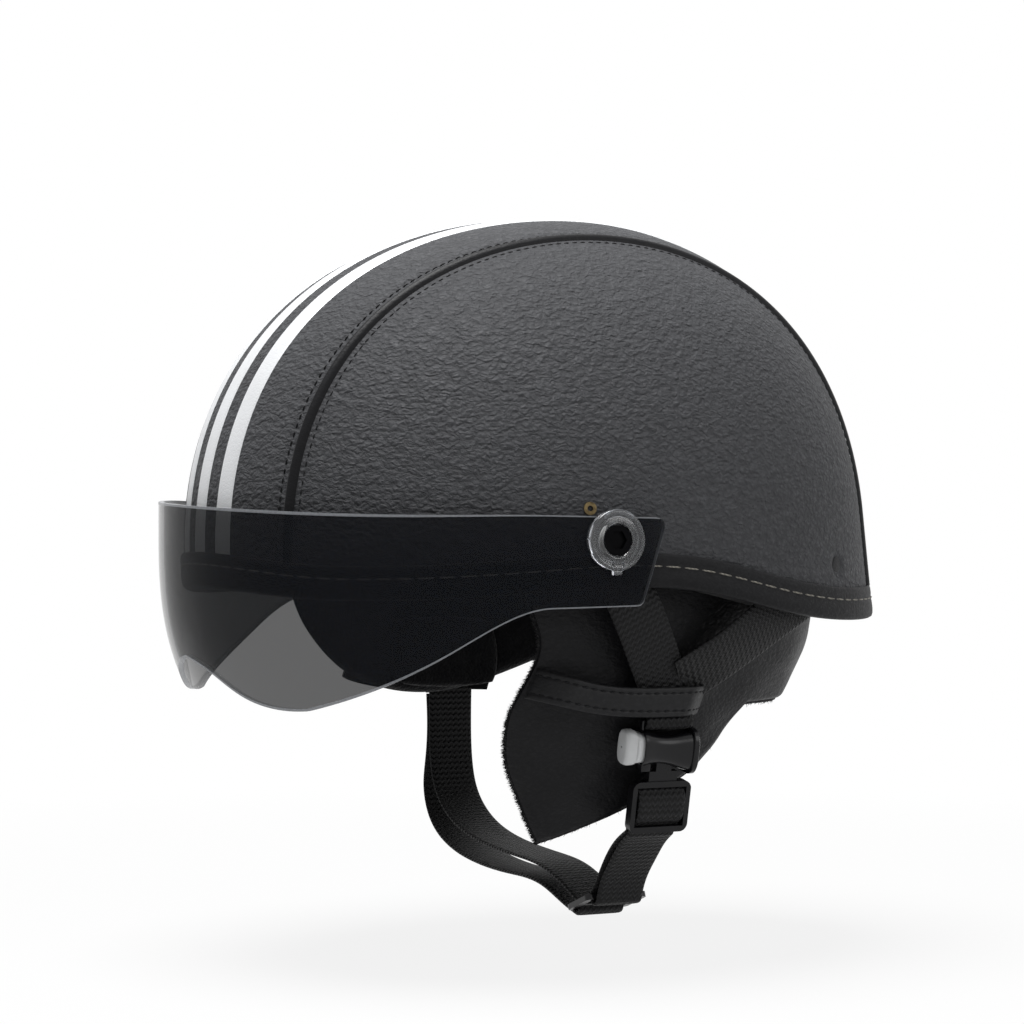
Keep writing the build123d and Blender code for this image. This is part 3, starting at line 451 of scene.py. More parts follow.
def leather(name, base, fine_pattern, depth, roughness=0.5, shine=0.16):
    """Grained leather: rounded pebbles, slanting creases among them, pores, random patches of tone,
    and painted highlight on the grain's tops with painted shade in its creases.
    """
    finish = new_finish(name, base, roughness, Specular_IOR_Level=shine)
    coords = object_coords(finish)
    shift = wire(finish, "TexNoise", Vector=coords, Scale=1 / (fine_pattern * 2.2 * mm), Detail=3.0)
    shift = wire(finish, "VectorMath", {"operation": "SCALE"}, _0=shift.outputs["Color"],
                 Scale=fine_pattern * 1.5 * mm)
    moved = vector_calc(finish, "ADD", coords, shift.outputs[0])
    wider = vector_calc(finish, "MULTIPLY", moved, (0.8, 0.8, 1.25))
    pebbles = cells(finish, wider, fine_pattern, "SMOOTH_F1", Smoothness=0.35)
    pebbles = remap(finish, pebbles, 1, 0, 0.05, 0.75)
    slanted = wire(finish, "Mapping", Vector=moved, Rotation=(0.75, 0.35, 0.5),
                   Scale=(1, 1, 1.6)).outputs[0]
    folds = noise(finish, slanted, fine_pattern * 2.4, 4.0, 0.6)
    folds = remap(finish, folds, 0, 1, 0.3, 0.62)
    fine = noise(finish, coords, fine_pattern * 0.3)
    patches = noise(finish, coords, fine_pattern * 22)
    tops = calc(finish, "MULTIPLY", pebbles, folds)
    # Colour from random patches and from the grain's relief: the pebble tops get a painted
    # highlight, the creases and gaps between pebbles painted shade.
    lighter = calc(finish, "MULTIPLY_ADD", patches, 0.4, tops)
    tint(finish, remap(finish, lighter, 0, 1, 0.0, 1.2), [c * 0.72 for c in base],
         [c * 1.22 for c in base])
    shader_input(finish, "Roughness", remap(finish, tops, roughness * 1.2, roughness * 0.9))
    bump(finish, fine, depth * 0.12)
    bump(finish, folds, depth * 1.5)
    bump(finish, pebbles, depth)
    return finish


cover_finish = leather("grained_leather", (0.057, 0.058, 0.062), 1.6, 0.34, 0.52, 0.12)


def on_crown(x, angle, grow=0.0):
    """Crown surface at a distance from the centre plane; angle is 0 at the rear, pi in front."""
    x, angle, grow = np.broadcast_arrays(np.asarray(x, float), angle, grow)

    def inside(far):
        y = far * np.cos(angle)
        z = far * np.sin(angle)
        reach = np.where(z > 0, np.interp(z / (crown_height + grow), curve_height, curve_reach,
                                          right=0), 1)
        return (x / (half_width + grow)) ** 2 + (y / (half_length + grow)) ** 2 < reach**2

    far = halved(np.zeros(x.shape), np.full(x.shape, 2 * half_length), inside, 32)
    return tilted(x, far * np.cos(angle), far * np.sin(angle))


def end_angles(x, grow=0.0, raised=0.0):
    """Angles at which a line at one distance from the centre plane meets the edge line."""
    ends = []
    for start, turn in ((0, 1), (pi, -1)):
        def below(angle):
            point = on_crown(x, start + turn * angle, grow)
            return point[..., 2] < rim_height(point[..., 1]) + raised

        angle = halved(np.full(np.shape(x), -0.55), np.full(np.shape(x), 0.6), below, 24)
        ends.append(start + turn * angle)
    return ends


def crown_strip(xs, count, grow, raised=0.0):
    """Grid over the crown from rear to front, one column for each distance in xs."""
    xs = np.asarray(xs, float)
    rear, front = end_angles(xs, np.zeros(xs.shape), raised)
    part = np.linspace(0, 1, count)[:, None]
    return on_crown(xs, rear + (front - rear) * part, grow)


def distance_along(line):
    """How far along a line each of its points is."""
    return np.concatenate([[0], np.cumsum(np.linalg.norm(np.diff(line, axis=0), axis=1))])


def at_distances(line, far, places):
    """Points of a line at some distances, where far is that of each point it has."""
    return np.stack([np.interp(places, far, axis) for axis in np.transpose(line)], axis=-1)


def unit(vectors):
    """The same directions with length 1."""
    return vectors / np.linalg.norm(vectors, axis=-1, keepdims=True)


stitch_pitch = 3.3
stitch_hollow, edge_hollow = 1.1, 1.4
strip_start = 10.7
half_panel = np.concatenate([np.linspace(0, 40.5, 26), np.linspace(41.2, 45.6, 12),
                             np.linspace(46.0, panel_half - seam_gap / 2, 6)])
panel_xs = np.concatenate([-half_panel[:0:-1], half_panel])
panel_rows = 400
guide = distance_along(crown_strip([stitch_line], panel_rows, 0.0)[:, 0])
pull = 0.5 + 0.5 * np.cos(tau * guide / stitch_pitch)
near_stitch = np.exp(-((np.abs(panel_xs) - stitch_line) / stitch_hollow) ** 2)
edge_sink = np.exp(-((panel_half - np.abs(panel_xs)) / edge_hollow) ** 2)
sink = -near_stitch * (0.22 + 0.3 * pull[:, None]) - 0.3 * edge_sink
outer = crown_strip(panel_xs, panel_rows, sink)
inner = crown_strip(panel_xs, panel_rows, -cover_thickness)
center_cover = make("center_cover", *slab(outer, inner), cover_finish, crease=50)
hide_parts("cover_center")

rivet_y, rivet_z = levelled(86.0, -6.5)
rivet_azimuth = np.arcsin(rivet_y / half_length)
rivet_middle = on_meridian(rivet_azimuth, rivet_z / wall_unit)
finer = np.radians(np.linspace(-5, 5, 41))
azimuths = np.sort(np.concatenate([
    np.linspace(0, tau, 300, endpoint=False), rivet_azimuth + finer, pi - rivet_azimuth + finer
]))
start_level = rim_level(azimuths)
levels = start_level + (1 - start_level) * np.linspace(0, 1, 130)[:, None]
smooth_cover = on_meridian(azimuths, levels)
smooth_cover[..., 0] = np.abs(smooth_cover[..., 0])
from_rivet = np.linalg.norm(smooth_cover - rivet_middle, axis=-1)
dimple_radius = 4.9
dimple = -np.exp(-((from_rivet / dimple_radius) ** 6))
points, faces = slab(on_meridian(azimuths, levels, dimple),
                     on_meridian(azimuths, levels, -cover_thickness), closed=True)
for side, name in sides:
    side_cover = make(f"{name}_cover", points, faces, cover_finish)
    cut = bmesh.new()
    cut.from_mesh(side_cover.data)
    everything = [*cut.verts, *cut.edges, *cut.faces]
    edge = side * (panel_half + seam_gap / 2) * mm
    result = bmesh.ops.bisect_plane(cut, geom=everything, plane_co=(edge, 0, 0),
                                    plane_no=(side, 0, 0), clear_inner=True)
    loop = [item for item in result["geom_cut"] if isinstance(item, bmesh.types.BMEdge)]
    bmesh.ops.triangle_fill(cut, edges=loop, use_beauty=True)
    cut.to_mesh(side_cover.data)
    cut.free()
    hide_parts(f"cover_{name}")


def stitches(name, line, normals, pitch, length, thickness, finish):
    """Row of thread stitches laid on a line of points, each a short bowed capsule."""
    lift = 0.12
    far = distance_along(line)
    count = int(far[-1] // pitch)
    around, rings = 6, 7
    ring = np.linspace(0, tau, around, endpoint=False)
    bow = np.linspace(-1, 1, rings)
    points, faces = [], []
    for i in range(count):
        middle = (i + 0.5) * far[-1] / count
        places = middle + bow * length / 2
        spine = at_distances(line, far, places)
        up = unit(at_distances(normals, far, places))
        across = np.cross(unit(np.gradient(spine, axis=0)), up)
        rise = lift * (1 - bow**2) - 0.35 * thickness * bow**2
        radius = thickness / 2 * np.sqrt(np.clip(1.02 - bow**4, 0.02, 1))
        spine = spine + up * rise[:, None]
        shell_ring = (across[:, None] * np.cos(ring)[None, :, None]
                      + up[:, None] * np.sin(ring)[None, :, None]) * radius[:, None, None]
        start = len(points) * around * rings
        end = start + around * rings
        points.append((spine[:, None] + shell_ring).reshape(-1, 3))
        faces += grid_faces(rings, around, True, start).tolist()
        faces += [list(range(start, start + around)), list(range(end - around, end))]
    return make(name, np.concatenate(points), faces, finish)


def outward(line):
    """Directions away from the middle of the crown, for points on it."""
    return unit(np.asarray(line) * (1 / half_width**2, 1 / half_length**2, 1 / crown_height**2))


def thread(name, base, roughness=0.6):
    """Twisted thread: fine slanting strands and a soft shine."""
    finish = new_finish(name, base, roughness, Specular_IOR_Level=0.15)
    coords = object_coords(finish)
    twist = wire(finish, "TexWave", {"bands_direction": "DIAGONAL"}, Vector=coords,
                 Scale=1 / (2.2 * mm), Distortion=0.5).outputs["Fac"]
    tint(finish, twist, [c * 0.6 for c in base], [c * 1.2 for c in base])
    bump(finish, twist, 0.05)
    return finish


black_thread = thread("black_thread", (0.006, 0.006, 0.007), 0.55)
for side, name in sides:
    for place, row in ((stitch_line, "inner"), (side_stitch_line, "outer")):
        seam = crown_strip([side * place], 500, -0.25 if row == "inner" else 0.0, 10.8)[:, 0]
        stitches(f"seam_stitches_{name}_{row}", seam, outward(seam), stitch_pitch, 2.5, 0.55,
                 black_thread)

# Piping
# Round cord wrapped in thin black leather, laid in each seam from the front edge trim to the
# rear one.
piping_width = 2.8
piping_height = 1.4
strip_base, strip_edge = 0.05, 0.06
piping_finish = leather("piping_leather", (0.006, 0.006, 0.007), 0.9, 0.03, 0.36, 0.12)
turns = np.linspace(0, pi, 13)
for side, name in sides:
    across = side * panel_half + piping_width / 2 * np.cos(turns)
    rise = strip_edge + piping_height * np.sin(turns) ** 0.8
    top = crown_strip(across, 360, rise, strip_start)
    base = crown_strip(across, 360, strip_base, strip_start)
    piping = make(f"{name}_piping", *slab(top, base), piping_finish, crease=60)
    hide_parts(f"piping_{name}")

# Stripes
# Three strips of thin silver-white leather, glued along the centre panel from one edge trim to
# the other.
stripe_finish = new_finish("silver_stripe", (0.56, 0.57, 0.585), 0.42, Metallic=0.1)
coords = object_coords(stripe_finish)
speck = noise(stripe_finish, coords, 0.35)
tint(stripe_finish, noise(stripe_finish, coords, 14), (0.60, 0.61, 0.625), (0.72, 0.73, 0.745))
shader_input(stripe_finish, "Roughness", remap(stripe_finish, speck, 0.34, 0.52))
fine_pattern = cells(stripe_finish, coords, 1.5, "DISTANCE_TO_EDGE")
bump(stripe_finish, remap(stripe_finish, fine_pattern, 0, 1, 0, 0.2), 0.035)
stripe_height = 0.36
for center, width, node in ((0.0, 9.4, "center"), (17.2, 9.2, "left"), (-17.2, 9.2, "right")):
    edge = np.linspace(-1, 1, 15)
    across = center + width / 2 * np.sign(edge) * np.abs(edge) ** 0.7
    rise = strip_edge + stripe_height * np.clip((1 - np.abs(edge) ** 8), 0, 1)
    top = crown_strip(across, 300, rise, strip_start)
    base = crown_strip(across, 300, strip_base, strip_start)
    stripe = make(f"{node}_stripe", *slab(top, base), stripe_finish, crease=50)
    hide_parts(f"stripe_{node}")

# Edge trim
# Strip of softer leather folded over the shell's edge all round, stitched through with grey
# thread. Its inner fold is cut away where the straps come out.
trim_finish = leather("trim_leather", (0.009, 0.009, 0.010), 1.1, 0.05, 0.5, 0.12)
trim_columns = 480
azimuths = np.linspace(0, tau, trim_columns, endpoint=False)
trim_outer = [(0.12, 10.5), (0.7, 10.75), (1.2, 10.5), (1.42, 9.8), (1.5, 8.0), (1.3, 6.2),
              (1.55, 4.2), (1.6, 2.0), (1.45, 0.3), (1.0, -0.8), (0.2, -1.25), (-1.2, -1.3)]
trim_inner = [(-2.8, -1.3), (-4.6, -1.15), (-5.4, -0.6), (-5.65, 0.6), (-5.65, 3.5),
              (-5.6, 6.0), (-5.25, 6.9), (-4.7, 6.9), (-4.45, 6.0), (-4.4, 1.0), (-4.4, -0.1)]
trim_return = [(-2.0, -0.12), (0.12, -0.12), (0.12, 5.0)]
strap_openings = ((-27.0, -1.0), (37.5, 78.5))
fold_out, fold_up = -4.25, -0.9
rim_y = at_rim(azimuths, -5.0, 0.0)[:, 1]
passes = np.ones(len(azimuths))
for low, high in strap_openings:
    passes = np.minimum(passes, np.clip(np.maximum(low - rim_y, rim_y - high) / 2.5, 0, 1))
rings = [at_rim(azimuths, grow, raised) for grow, raised in trim_outer]
for grow, raised in trim_inner:
    rings.append(at_rim(
        azimuths,
        fold_out + (grow - fold_out) * np.where(grow < fold_out, passes, 1),
        fold_up + (raised - fold_up) * np.where(raised > fold_up, passes, 1),
    ))
rings += [at_rim(azimuths, grow, raised) for grow, raised in trim_return]
rings.append(rings[0])
trim = make("edge_trim", np.concatenate(rings), grid_faces(len(rings), trim_columns, True),
            trim_finish)
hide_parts("rim_trim")
grey_thread = thread("grey_thread", (0.20, 0.19, 0.165))
for name, start, end in (("rear", 0, 0.5), ("front", 0.5, 1)):
    part = -pi / 2 + tau * np.linspace(start, end, 600) + 0.3
    line = at_rim(part, 1.38, 6.2)
    stitches(f"trim_stitches_{name}", line, outward(line), 7.3, 6.4, 0.55, grey_thread)

# Strap fastenings
# Brass eyelets at the front straps' upper ends, black domed rivets sunk in the leather at the
# rear ones, and square steel plates behind the shell.


def turned(profile, origin, axis, segments=48):
    """Rings of points for a profile of (radius, height) turned about an axis."""
    axis = unit(np.asarray(axis, float))
    side = unit(np.cross(axis, (0, 0, 1)))
    up = np.cross(side, axis)
    angle = np.linspace(0, tau, segments, endpoint=False)[:, None]
    ring = side * np.cos(angle) + up * np.sin(angle)
    profile = np.asarray(profile, float)
    return np.asarray(origin) + profile[:, 0, None, None] * ring + profile[:, 1, None, None] * axis


def joined(*parts):
    """Several closed skins as one list of points and one of faces."""
    points, faces, start = [], [], 0
    for part_points, part_faces in parts:
        part_points = np.asarray(part_points).reshape(-1, 3)
        faces += [[int(i) + start for i in face] for face in part_faces]
        points.append(part_points)
        start += len(part_points)
    return np.concatenate(points), faces


def metal(name, base, roughness, lighter):
    """Metal with fine scratches and a broad unevenness of gloss; worn is its brighter colour."""
    finish = new_finish(name, base, roughness, Metallic=1.0)
    coords = object_coords(finish)
    broad = noise(finish, coords, 2.5, 5.0)
    stretched = vector_calc(finish, "MULTIPLY", coords, (1.0, 12.0, 1.0))
    scratches = noise(finish, stretched, 0.6, 4.0)
    tint(finish, remap(finish, broad, 0, 1, 0.35, 0.7), base, lighter)
    shader_input(finish, "Roughness", remap(finish, scratches, roughness * 0.7, roughness * 1.5))
    bump(finish, scratches, 0.015)
    return finish


brass = metal("brass", (0.035, 0.026, 0.015), 0.34, (0.16, 0.12, 0.06))
black_steel = metal("black_steel", (0.035, 0.035, 0.038), 0.38, (0.09, 0.09, 0.095))
refinish("strap_eyelets", brass)
refinish("backing_plates", black_steel)
rivet_profile = [(0, -0.62), (1.6, -0.68), (2.9, -0.84), (3.6, -0.97), (3.7, -1.15), (0, -1.15)]
rivet_segments = 32
domes = []
for side, _ in sides:
    middle = rivet_middle * (side, 1, 1)
    dome = turned(rivet_profile, middle, outward([middle])[0], rivet_segments)
    domes.append((dome, grid_faces(len(rivet_profile), rivet_segments, True)))
rivet_leather = leather("black_steel", (0.008, 0.008, 0.009), 1.0, 0.04, 0.45)
rivets = make("rivet_domes", *joined(*domes), rivet_leather, crease=60)
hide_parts("rear_rivets")

# Visor shield
# One piece of smoked clear plastic, bent round the front and cut to two lobes, with polished
# edges; the light they catch is painted on as a pale grey band. It turns on the two pivots.
shield_half_width = 111.5
shield_half_length = 142.5
shield_thickness = 2.0
pivot_y = -23.5
pivot_z = 3.8
arm_rear = -3.5
arm_top = 11.5
arm_slope = 0.0195
sprung_start, sprung_length = 45, 85
sprung_rise, sprung_lean = 1.9, 0.038


def shield_oval(z):
    """How far the shield is drawn in at a height."""
    drop = np.clip(-np.asarray(z, float), 0, None) / 40
    return 2.0 * drop**2 + 2.6 * drop**3


def on_shield(azimuth, z, inset=0.0):
    """Point of the shield, sprung a little askew; azimuth is 0 at the left, pi / 2 in front."""
    draw = shield_oval(z) + inset
    x = (shield_half_width - draw) * np.cos(azimuth)
    y = -(shield_half_length - draw) * np.sin(azimuth)
    sprung = np.clip((-y - sprung_start) / sprung_length, 0, 1)
    rise = sprung**2 * (3 - 2 * sprung) * (sprung_rise - sprung_lean * x)
    return np.stack([x, y, z + rise], axis=-1)


def bezier_between(a, b, c, count):
    """Round corner from a to c whose sides point at b."""
    t = np.linspace(0, 1, count)[:, None]
    return (1 - t) ** 2 * a + 2 * t * (1 - t) * b + t**2 * c


def to_azimuth(line):
    """Azimuth on the shield of points seen from the side."""
    return np.arcsin(-line[:, 0] / (shield_half_length - shield_oval(line[:, 1])))


def mirrored(line):
    """Left half of a row along the shield with its right half put after it."""
    return np.concatenate([line, line[-2::-1]])


cheek = smooth_line([(-43.0, -19.7), (-47.0, -19.9), (-62.0, -25.2), (-78.0, -35.6),
                     (-92.0, -44.4), (-130.0, -64.1), (-150.0, -74.5)], 200)[::-1]
lobes = smooth_line([(0.0, -40.3), (16.0, -44.8), (29.5, -52.6), (45.5, -56.0), (63.0, -53.0),
                     (83.0, -45.2), (98.0, -39.5), (111.5, -34.9)], 300)
lobes = np.concatenate([lobes[:0:-1] * (-1, 1), lobes])
corner = np.array((arm_rear, arm_top))
tip = bezier_between(np.array((-8.9, 11.6)), corner, corner - (1.61, 5.18), 13)
lower = np.concatenate([tip[6:], [(-9.3, -7.2), (-12.1, -16.2)],
                        bezier_between(np.array((-12.4, -17.2)), np.array((-13.0, -19.0)),
                                       np.array((-14.9, -19.05)), 5),
                        [(-18.0, -19.12), (-24.0, -19.26), (-31.0, -19.42)]])
upper = np.concatenate([tip[6::-1], [(-12.0, 11.66), (-15.0, 11.72)]])
upper = at_distances(upper, np.linspace(0, 1, len(upper)), np.linspace(0, 1, len(lower)))
upper[-4:, 0] = (-17.0, -20.0, -24.5, -31.0)
upper[-4:, 1] = arm_top - (upper[-4:, 0] - arm_rear) * arm_slope
column = np.linspace(np.arcsin(33.0 / shield_half_length), pi / 2, 150)
top_z = arm_top + (shield_half_length * np.sin(column) + arm_rear) * arm_slope
low_z = np.full(column.shape, -30.0)
for _ in range(20):
    place = on_shield(column, low_z)
    side_low = np.interp(place[:, 1], cheek[:, 0], cheek[:, 1])
    side_low = np.where(place[:, 1] > -43.0, -19.0 - (-place[:, 1] - 13.0) / 30 * 0.7, side_low)
    front_low = np.interp(place[:, 0], lobes[:, 0], lobes[:, 1])
    low_z = 0.5 * low_z + 0.5 * np.maximum(side_low, front_low)
top_azimuth = np.concatenate([to_azimuth(upper), column])
top_z = np.concatenate([upper[:, 1], top_z])
low_azimuth = np.concatenate([to_azimuth(lower), column])
low_z = np.concatenate([lower[:, 1], low_z])
top_azimuth = np.concatenate([top_azimuth, pi - top_azimuth[-2::-1]])
low_azimuth = np.concatenate([low_azimuth, pi - low_azimuth[-2::-1]])
top_z, low_z = mirrored(top_z), mirrored(low_z)
part = np.concatenate([[0, 0.014], np.linspace(0.06, 0.94, 18), [0.986, 1]])[:, None]
azimuth_grid = top_azimuth + (low_azimuth - top_azimuth) * part
z_grid = top_z + (low_z - top_z) * part
smoke = new_finish("smoked_plastic", (0.004, 0.0065, 0.010), 0.04, IOR=1.49,
                   Specular_IOR_Level=0.10)
coords = object_coords(smoke)
haze = noise(smoke, coords, 9.0, 5.0)
scuffs = noise(smoke, vector_calc(smoke, "MULTIPLY", coords, (1.0, 1.0, 9.0)), 1.5, 4.0)
shader_input(smoke, "Roughness", remap(smoke, haze, 0.02, 0.07, 0.3, 0.75))
tint(smoke, remap(smoke, scuffs, 0, 1, 0.6, 0.85), (0.002, 0.003, 0.005), (0.005, 0.007, 0.010))
grazing = wire(smoke, "LayerWeight", Blend=0.5).outputs["Facing"]
shader_input(smoke, "Alpha", remap(smoke, grazing, 0.66, 0.52, 0.5, 0.95))
outer = on_shield(azimuth_grid, z_grid)
inner = on_shield(azimuth_grid, z_grid, shield_thickness)
runs = np.stack([azimuth_grid, part + 0 * azimuth_grid], axis=-1).reshape(-1, 2)
runs = np.concatenate([runs, runs])
shield = make("smoked_shield", *slab(outer, inner), smoke, "visor", runs, 40)
# Pale grey painted highlight on the faces along the shield's top and bottom edges, for the light
# the polished edges catch; a fine noise varies its brightness.
highlight_share = 0.02
edge_highlight = new_finish("painted_edge_highlight", (0.2, 0.21, 0.23), 0.25, Alpha=0.8)
fine_pattern = noise(edge_highlight, object_coords(edge_highlight), 0.8)
tint(edge_highlight, fine_pattern, (0.13, 0.14, 0.155), (0.30, 0.31, 0.33))
shield.data.materials.append(edge_highlight)
run_layer = shield.data.uv_layers["run"].data
for face in shield.data.polygons:
    row = np.mean([run_layer[i].uv[1] for i in face.loop_indices])
    if row < highlight_share or row > 1 - highlight_share:
        face.material_index = 1


def cut_out(piece, points, faces):
    """Cut a closed skin's space out of a piece for good."""
    mesh = bpy.data.meshes.new("cutter")
    mesh.from_pydata((points * mm).tolist(), [], faces)
    welded = bmesh.new()
    welded.from_mesh(mesh)
    bmesh.ops.remove_doubles(welded, verts=welded.verts, dist=0.001 * mm)
    bmesh.ops.recalc_face_normals(welded, faces=welded.faces)
    welded.to_mesh(mesh)
    welded.free()
    cutter = bpy.data.objects.new("cutter", mesh)
    scene.collection.objects.link(cutter)
    cut = piece.modifiers.new("cut", "BOOLEAN")
    cut.object = cutter
    cut.operation = "DIFFERENCE"
    bpy.context.view_layer.update()
    shape = piece.evaluated_get(bpy.context.evaluated_depsgraph_get())
    cut_mesh = bpy.data.meshes.new_from_object(shape)
    piece.modifiers.clear()
    piece.data = cut_mesh
    bpy.data.objects.remove(cutter)


bore_radius = 6.55
bore_reach = 20
bore_x = 109.0
bore_profile = [(0, -bore_reach), (bore_radius, -bore_reach), (bore_radius, bore_reach),
                (0, bore_reach)]
pivot_segments = 64
bore = turned(bore_profile, (0, 0, 0), (1, 0, 0), pivot_segments)
bore_faces = grid_faces(len(bore_profile), pivot_segments, True)
bores = [(bore + (side * bore_x, pivot_y, pivot_z), bore_faces) for side, _ in sides]
cut_out(shield, *joined(*bores))
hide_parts("visor_shield")

# Visor pivots
# A clear moulded bush pressed in each arm, with a collar, a lug and a lead-in for the screw's
# head; behind it a nylon spacer, and through it a black shouldered screw and its nut.


def rounded_block(low, high, radius):
    """Points and faces of a block between two corners, its edges rounded."""
    block = bmesh.new()
    bmesh.ops.create_cube(block, size=1)
    low, high = np.array(low, float), np.array(high, float)
    for vertex in block.verts:
        vertex.co = (low + high) / 2 + np.array(vertex.co) * (high - low)
    bmesh.ops.bevel(block, geom=block.edges[:], offset=radius, segments=3, profile=0.5,
                    affect="EDGES")
    block.verts.index_update()
    points = np.array([vertex.co[:] for vertex in block.verts])
    faces = [[vertex.index for vertex in face.verts] for face in block.faces]
    block.free()
    return points, faces


clear = new_finish("clear_plastic", (0.88, 0.90, 0.92), 0.1, Transmission_Weight=0.96, IOR=1.47)
coords = object_coords(clear)
about_pivot = vector_calc(clear, "SUBTRACT", coords, (0, pivot_y * mm, pivot_z * mm))
turning = wire(clear, "TexWave", {"wave_type": "RINGS", "rings_direction": "X"},
               Vector=about_pivot, Scale=1 / (5.5 * mm), Distortion=1.2, Detail=3.0).outputs["Fac"]
cloudy = noise(clear, coords, 2.2, 4.0)
shader_input(clear, "Roughness", remap(clear, cloudy, 0.03, 0.22, 0.35, 0.7))
tint(clear, turning, (0.34, 0.35, 0.37), (0.68, 0.70, 0.73))
bump(clear, turning, 0.05)
under = shield_half_width * (1 - (pivot_y / shield_half_length) ** 2) ** 0.5
slope = (pivot_y / shield_half_length**2) / (under / shield_half_width**2)
face_x = 112.57
bush_parts = []
for side, _ in sides:
    profile = [(3.35, under - 1.95), (6.42, under - 1.95), (6.42, under - 0.3), (6.7, under + 0.08),
               (10.0, under + 0.08), (10.5, under + 0.3), (10.65, under + 0.7),
               (10.65, face_x - 0.75), (10.45, face_x - 0.28), (9.95, face_x - 0.03),
               (9.5, face_x), (8.9, face_x - 0.32), (8.2, face_x - 0.42), (7.5, face_x - 0.3),
               (6.9, face_x), (6.2, face_x - 0.05), (5.6, face_x - 0.4), (5.4, face_x - 0.9),
               (5.38, face_x - 2.3), (3.35, face_x - 2.3), (3.35, under - 1.95)]
    rings = turned(profile, (0, 0, 0), (1, 0, 0), pivot_segments)
    rings[3:7, :, 0] -= slope * rings[3:7, :, 1]
    bush_parts.append(((rings + (0, pivot_y, pivot_z)) * (side, 1, 1),
                       grid_faces(len(profile), pivot_segments, True)))
    # A short lug under the flange, two ribs above it and a moulding nib at the front
    for low, high in (((-1.6, -12.0, under + 0.35), (1.6, -10.2, under + 1.9)),
                      ((-2.2, -10.4, face_x - 0.5), (-1.8, -6.8, face_x + 0.04)),
                      ((1.8, -10.4, face_x - 0.5), (2.2, -6.8, face_x + 0.04)),
                      ((-11.4, 0.2, face_x - 2.0), (-10.4, 0.9, face_x - 1.3))):
        block, block_faces = rounded_block(low, high, 0.12)
        block = np.stack([block[:, 2] * side, block[:, 0] + pivot_y, block[:, 1] + pivot_z], -1)
        bush_parts.append((block, block_faces))
bushes = make("clear_bushes", *joined(*bush_parts), clear, "visor", crease=45)
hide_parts("visor_bushes")
refinish("pivot_spacers", moulded("nylon", (0.62, 0.61, 0.57), 0.5))
refinish("pivot_screws", moulded("black_oxide", (0.0015, 0.0015, 0.002), 0.5, 0.5, 0.01,
                                Specular_IOR_Level=0.03))
refinish("pivot_nuts", black_steel)

# Neck flap
# Soft leather that hangs below the rim from one ear round the nape to the other, in gentle
# folds. Its right front is folded up inside.
flap_levels = np.array([
    (5.0, 88.0, 114.5), (-24.0, 87.46, 113.6), (-47.0, 85.3, 106.94), (-60.0, 82.42, 96.5),
    (-70.0, 79.0, 85.7), (-112.0, 66.4, 78.5),
])
flap_thickness = 1.4
nape_height = -56.0
rim_gap = 0.35
ear_radius = 85


def flap_oval(level):
    """Half width and half length of the hanging flap, smoothed over its folds."""
    near = level + np.linspace(-4, 4, 9).reshape(-1, *[1] * np.ndim(level))
    heights = flap_levels[::-1, 0]
    return (np.interp(near, heights, flap_levels[::-1, 1]).mean(axis=0),
            np.interp(near, heights, flap_levels[::-1, 2]).mean(axis=0))


def on_flap(azimuth, level, inset=0.0):
    """Point of the flap; azimuth is 0 at the left ear, pi / 2 at the nape, pi at the right."""
    wide, long = flap_oval(level)
    return tilted((wide - inset) * np.cos(azimuth), (long - inset) * np.sin(azimuth), level)


def flap_place(side_points, right=False):
    """Azimuth and level of points of the flap seen from the side."""
    level_y, level = levelled(*np.asarray(side_points, float).T)
    azimuth = np.arcsin(np.clip(level_y / flap_oval(level)[1], -1, 1))
    return np.stack([pi - azimuth if right else azimuth, level], axis=-1)


def flap_level_at(azimuth, height):
    """Level at which a line down the flap meets a height, which may depend on y."""
    def below(level):
        point = on_flap(azimuth, level)
        return point[..., 2] < height(point[..., 1])

    return halved(np.full(azimuth.shape, -110.0), np.full(azimuth.shape, 5.0), below, 30)


def resampled(line, count):
    """A line in azimuth and level with its points evenly spread on the leather."""
    far = distance_along(line * (ear_radius, 1))
    return at_distances(line, far, np.linspace(0, far[-1], count))


def patch(front, bottom, top, back, across, down):
    """Grid of azimuths and levels inside four edges that meet at their ends."""
    front, back = resampled(front, down), resampled(back, down)
    bottom, top = resampled(bottom, across), resampled(top, across)
    u = np.linspace(0, 1, across)[None, :, None]
    v = np.linspace(0, 1, down)[:, None, None]
    grid = (1 - v) * top[None] + v * bottom[None] + (1 - u) * front[:, None] + u * back[:, None]
    grid -= (1 - v) * ((1 - u) * front[0] + u * back[0]) + v * ((1 - u) * front[-1] + u * back[-1])
    return grid


def below_rim(line):
    """What is left of a line seen from the side once it has come out under the rim."""
    hidden = rim_height(line[:, 0]) - 0.3 < line[:, 1]
    return line[len(line) - np.argmax(hidden[::-1]):]


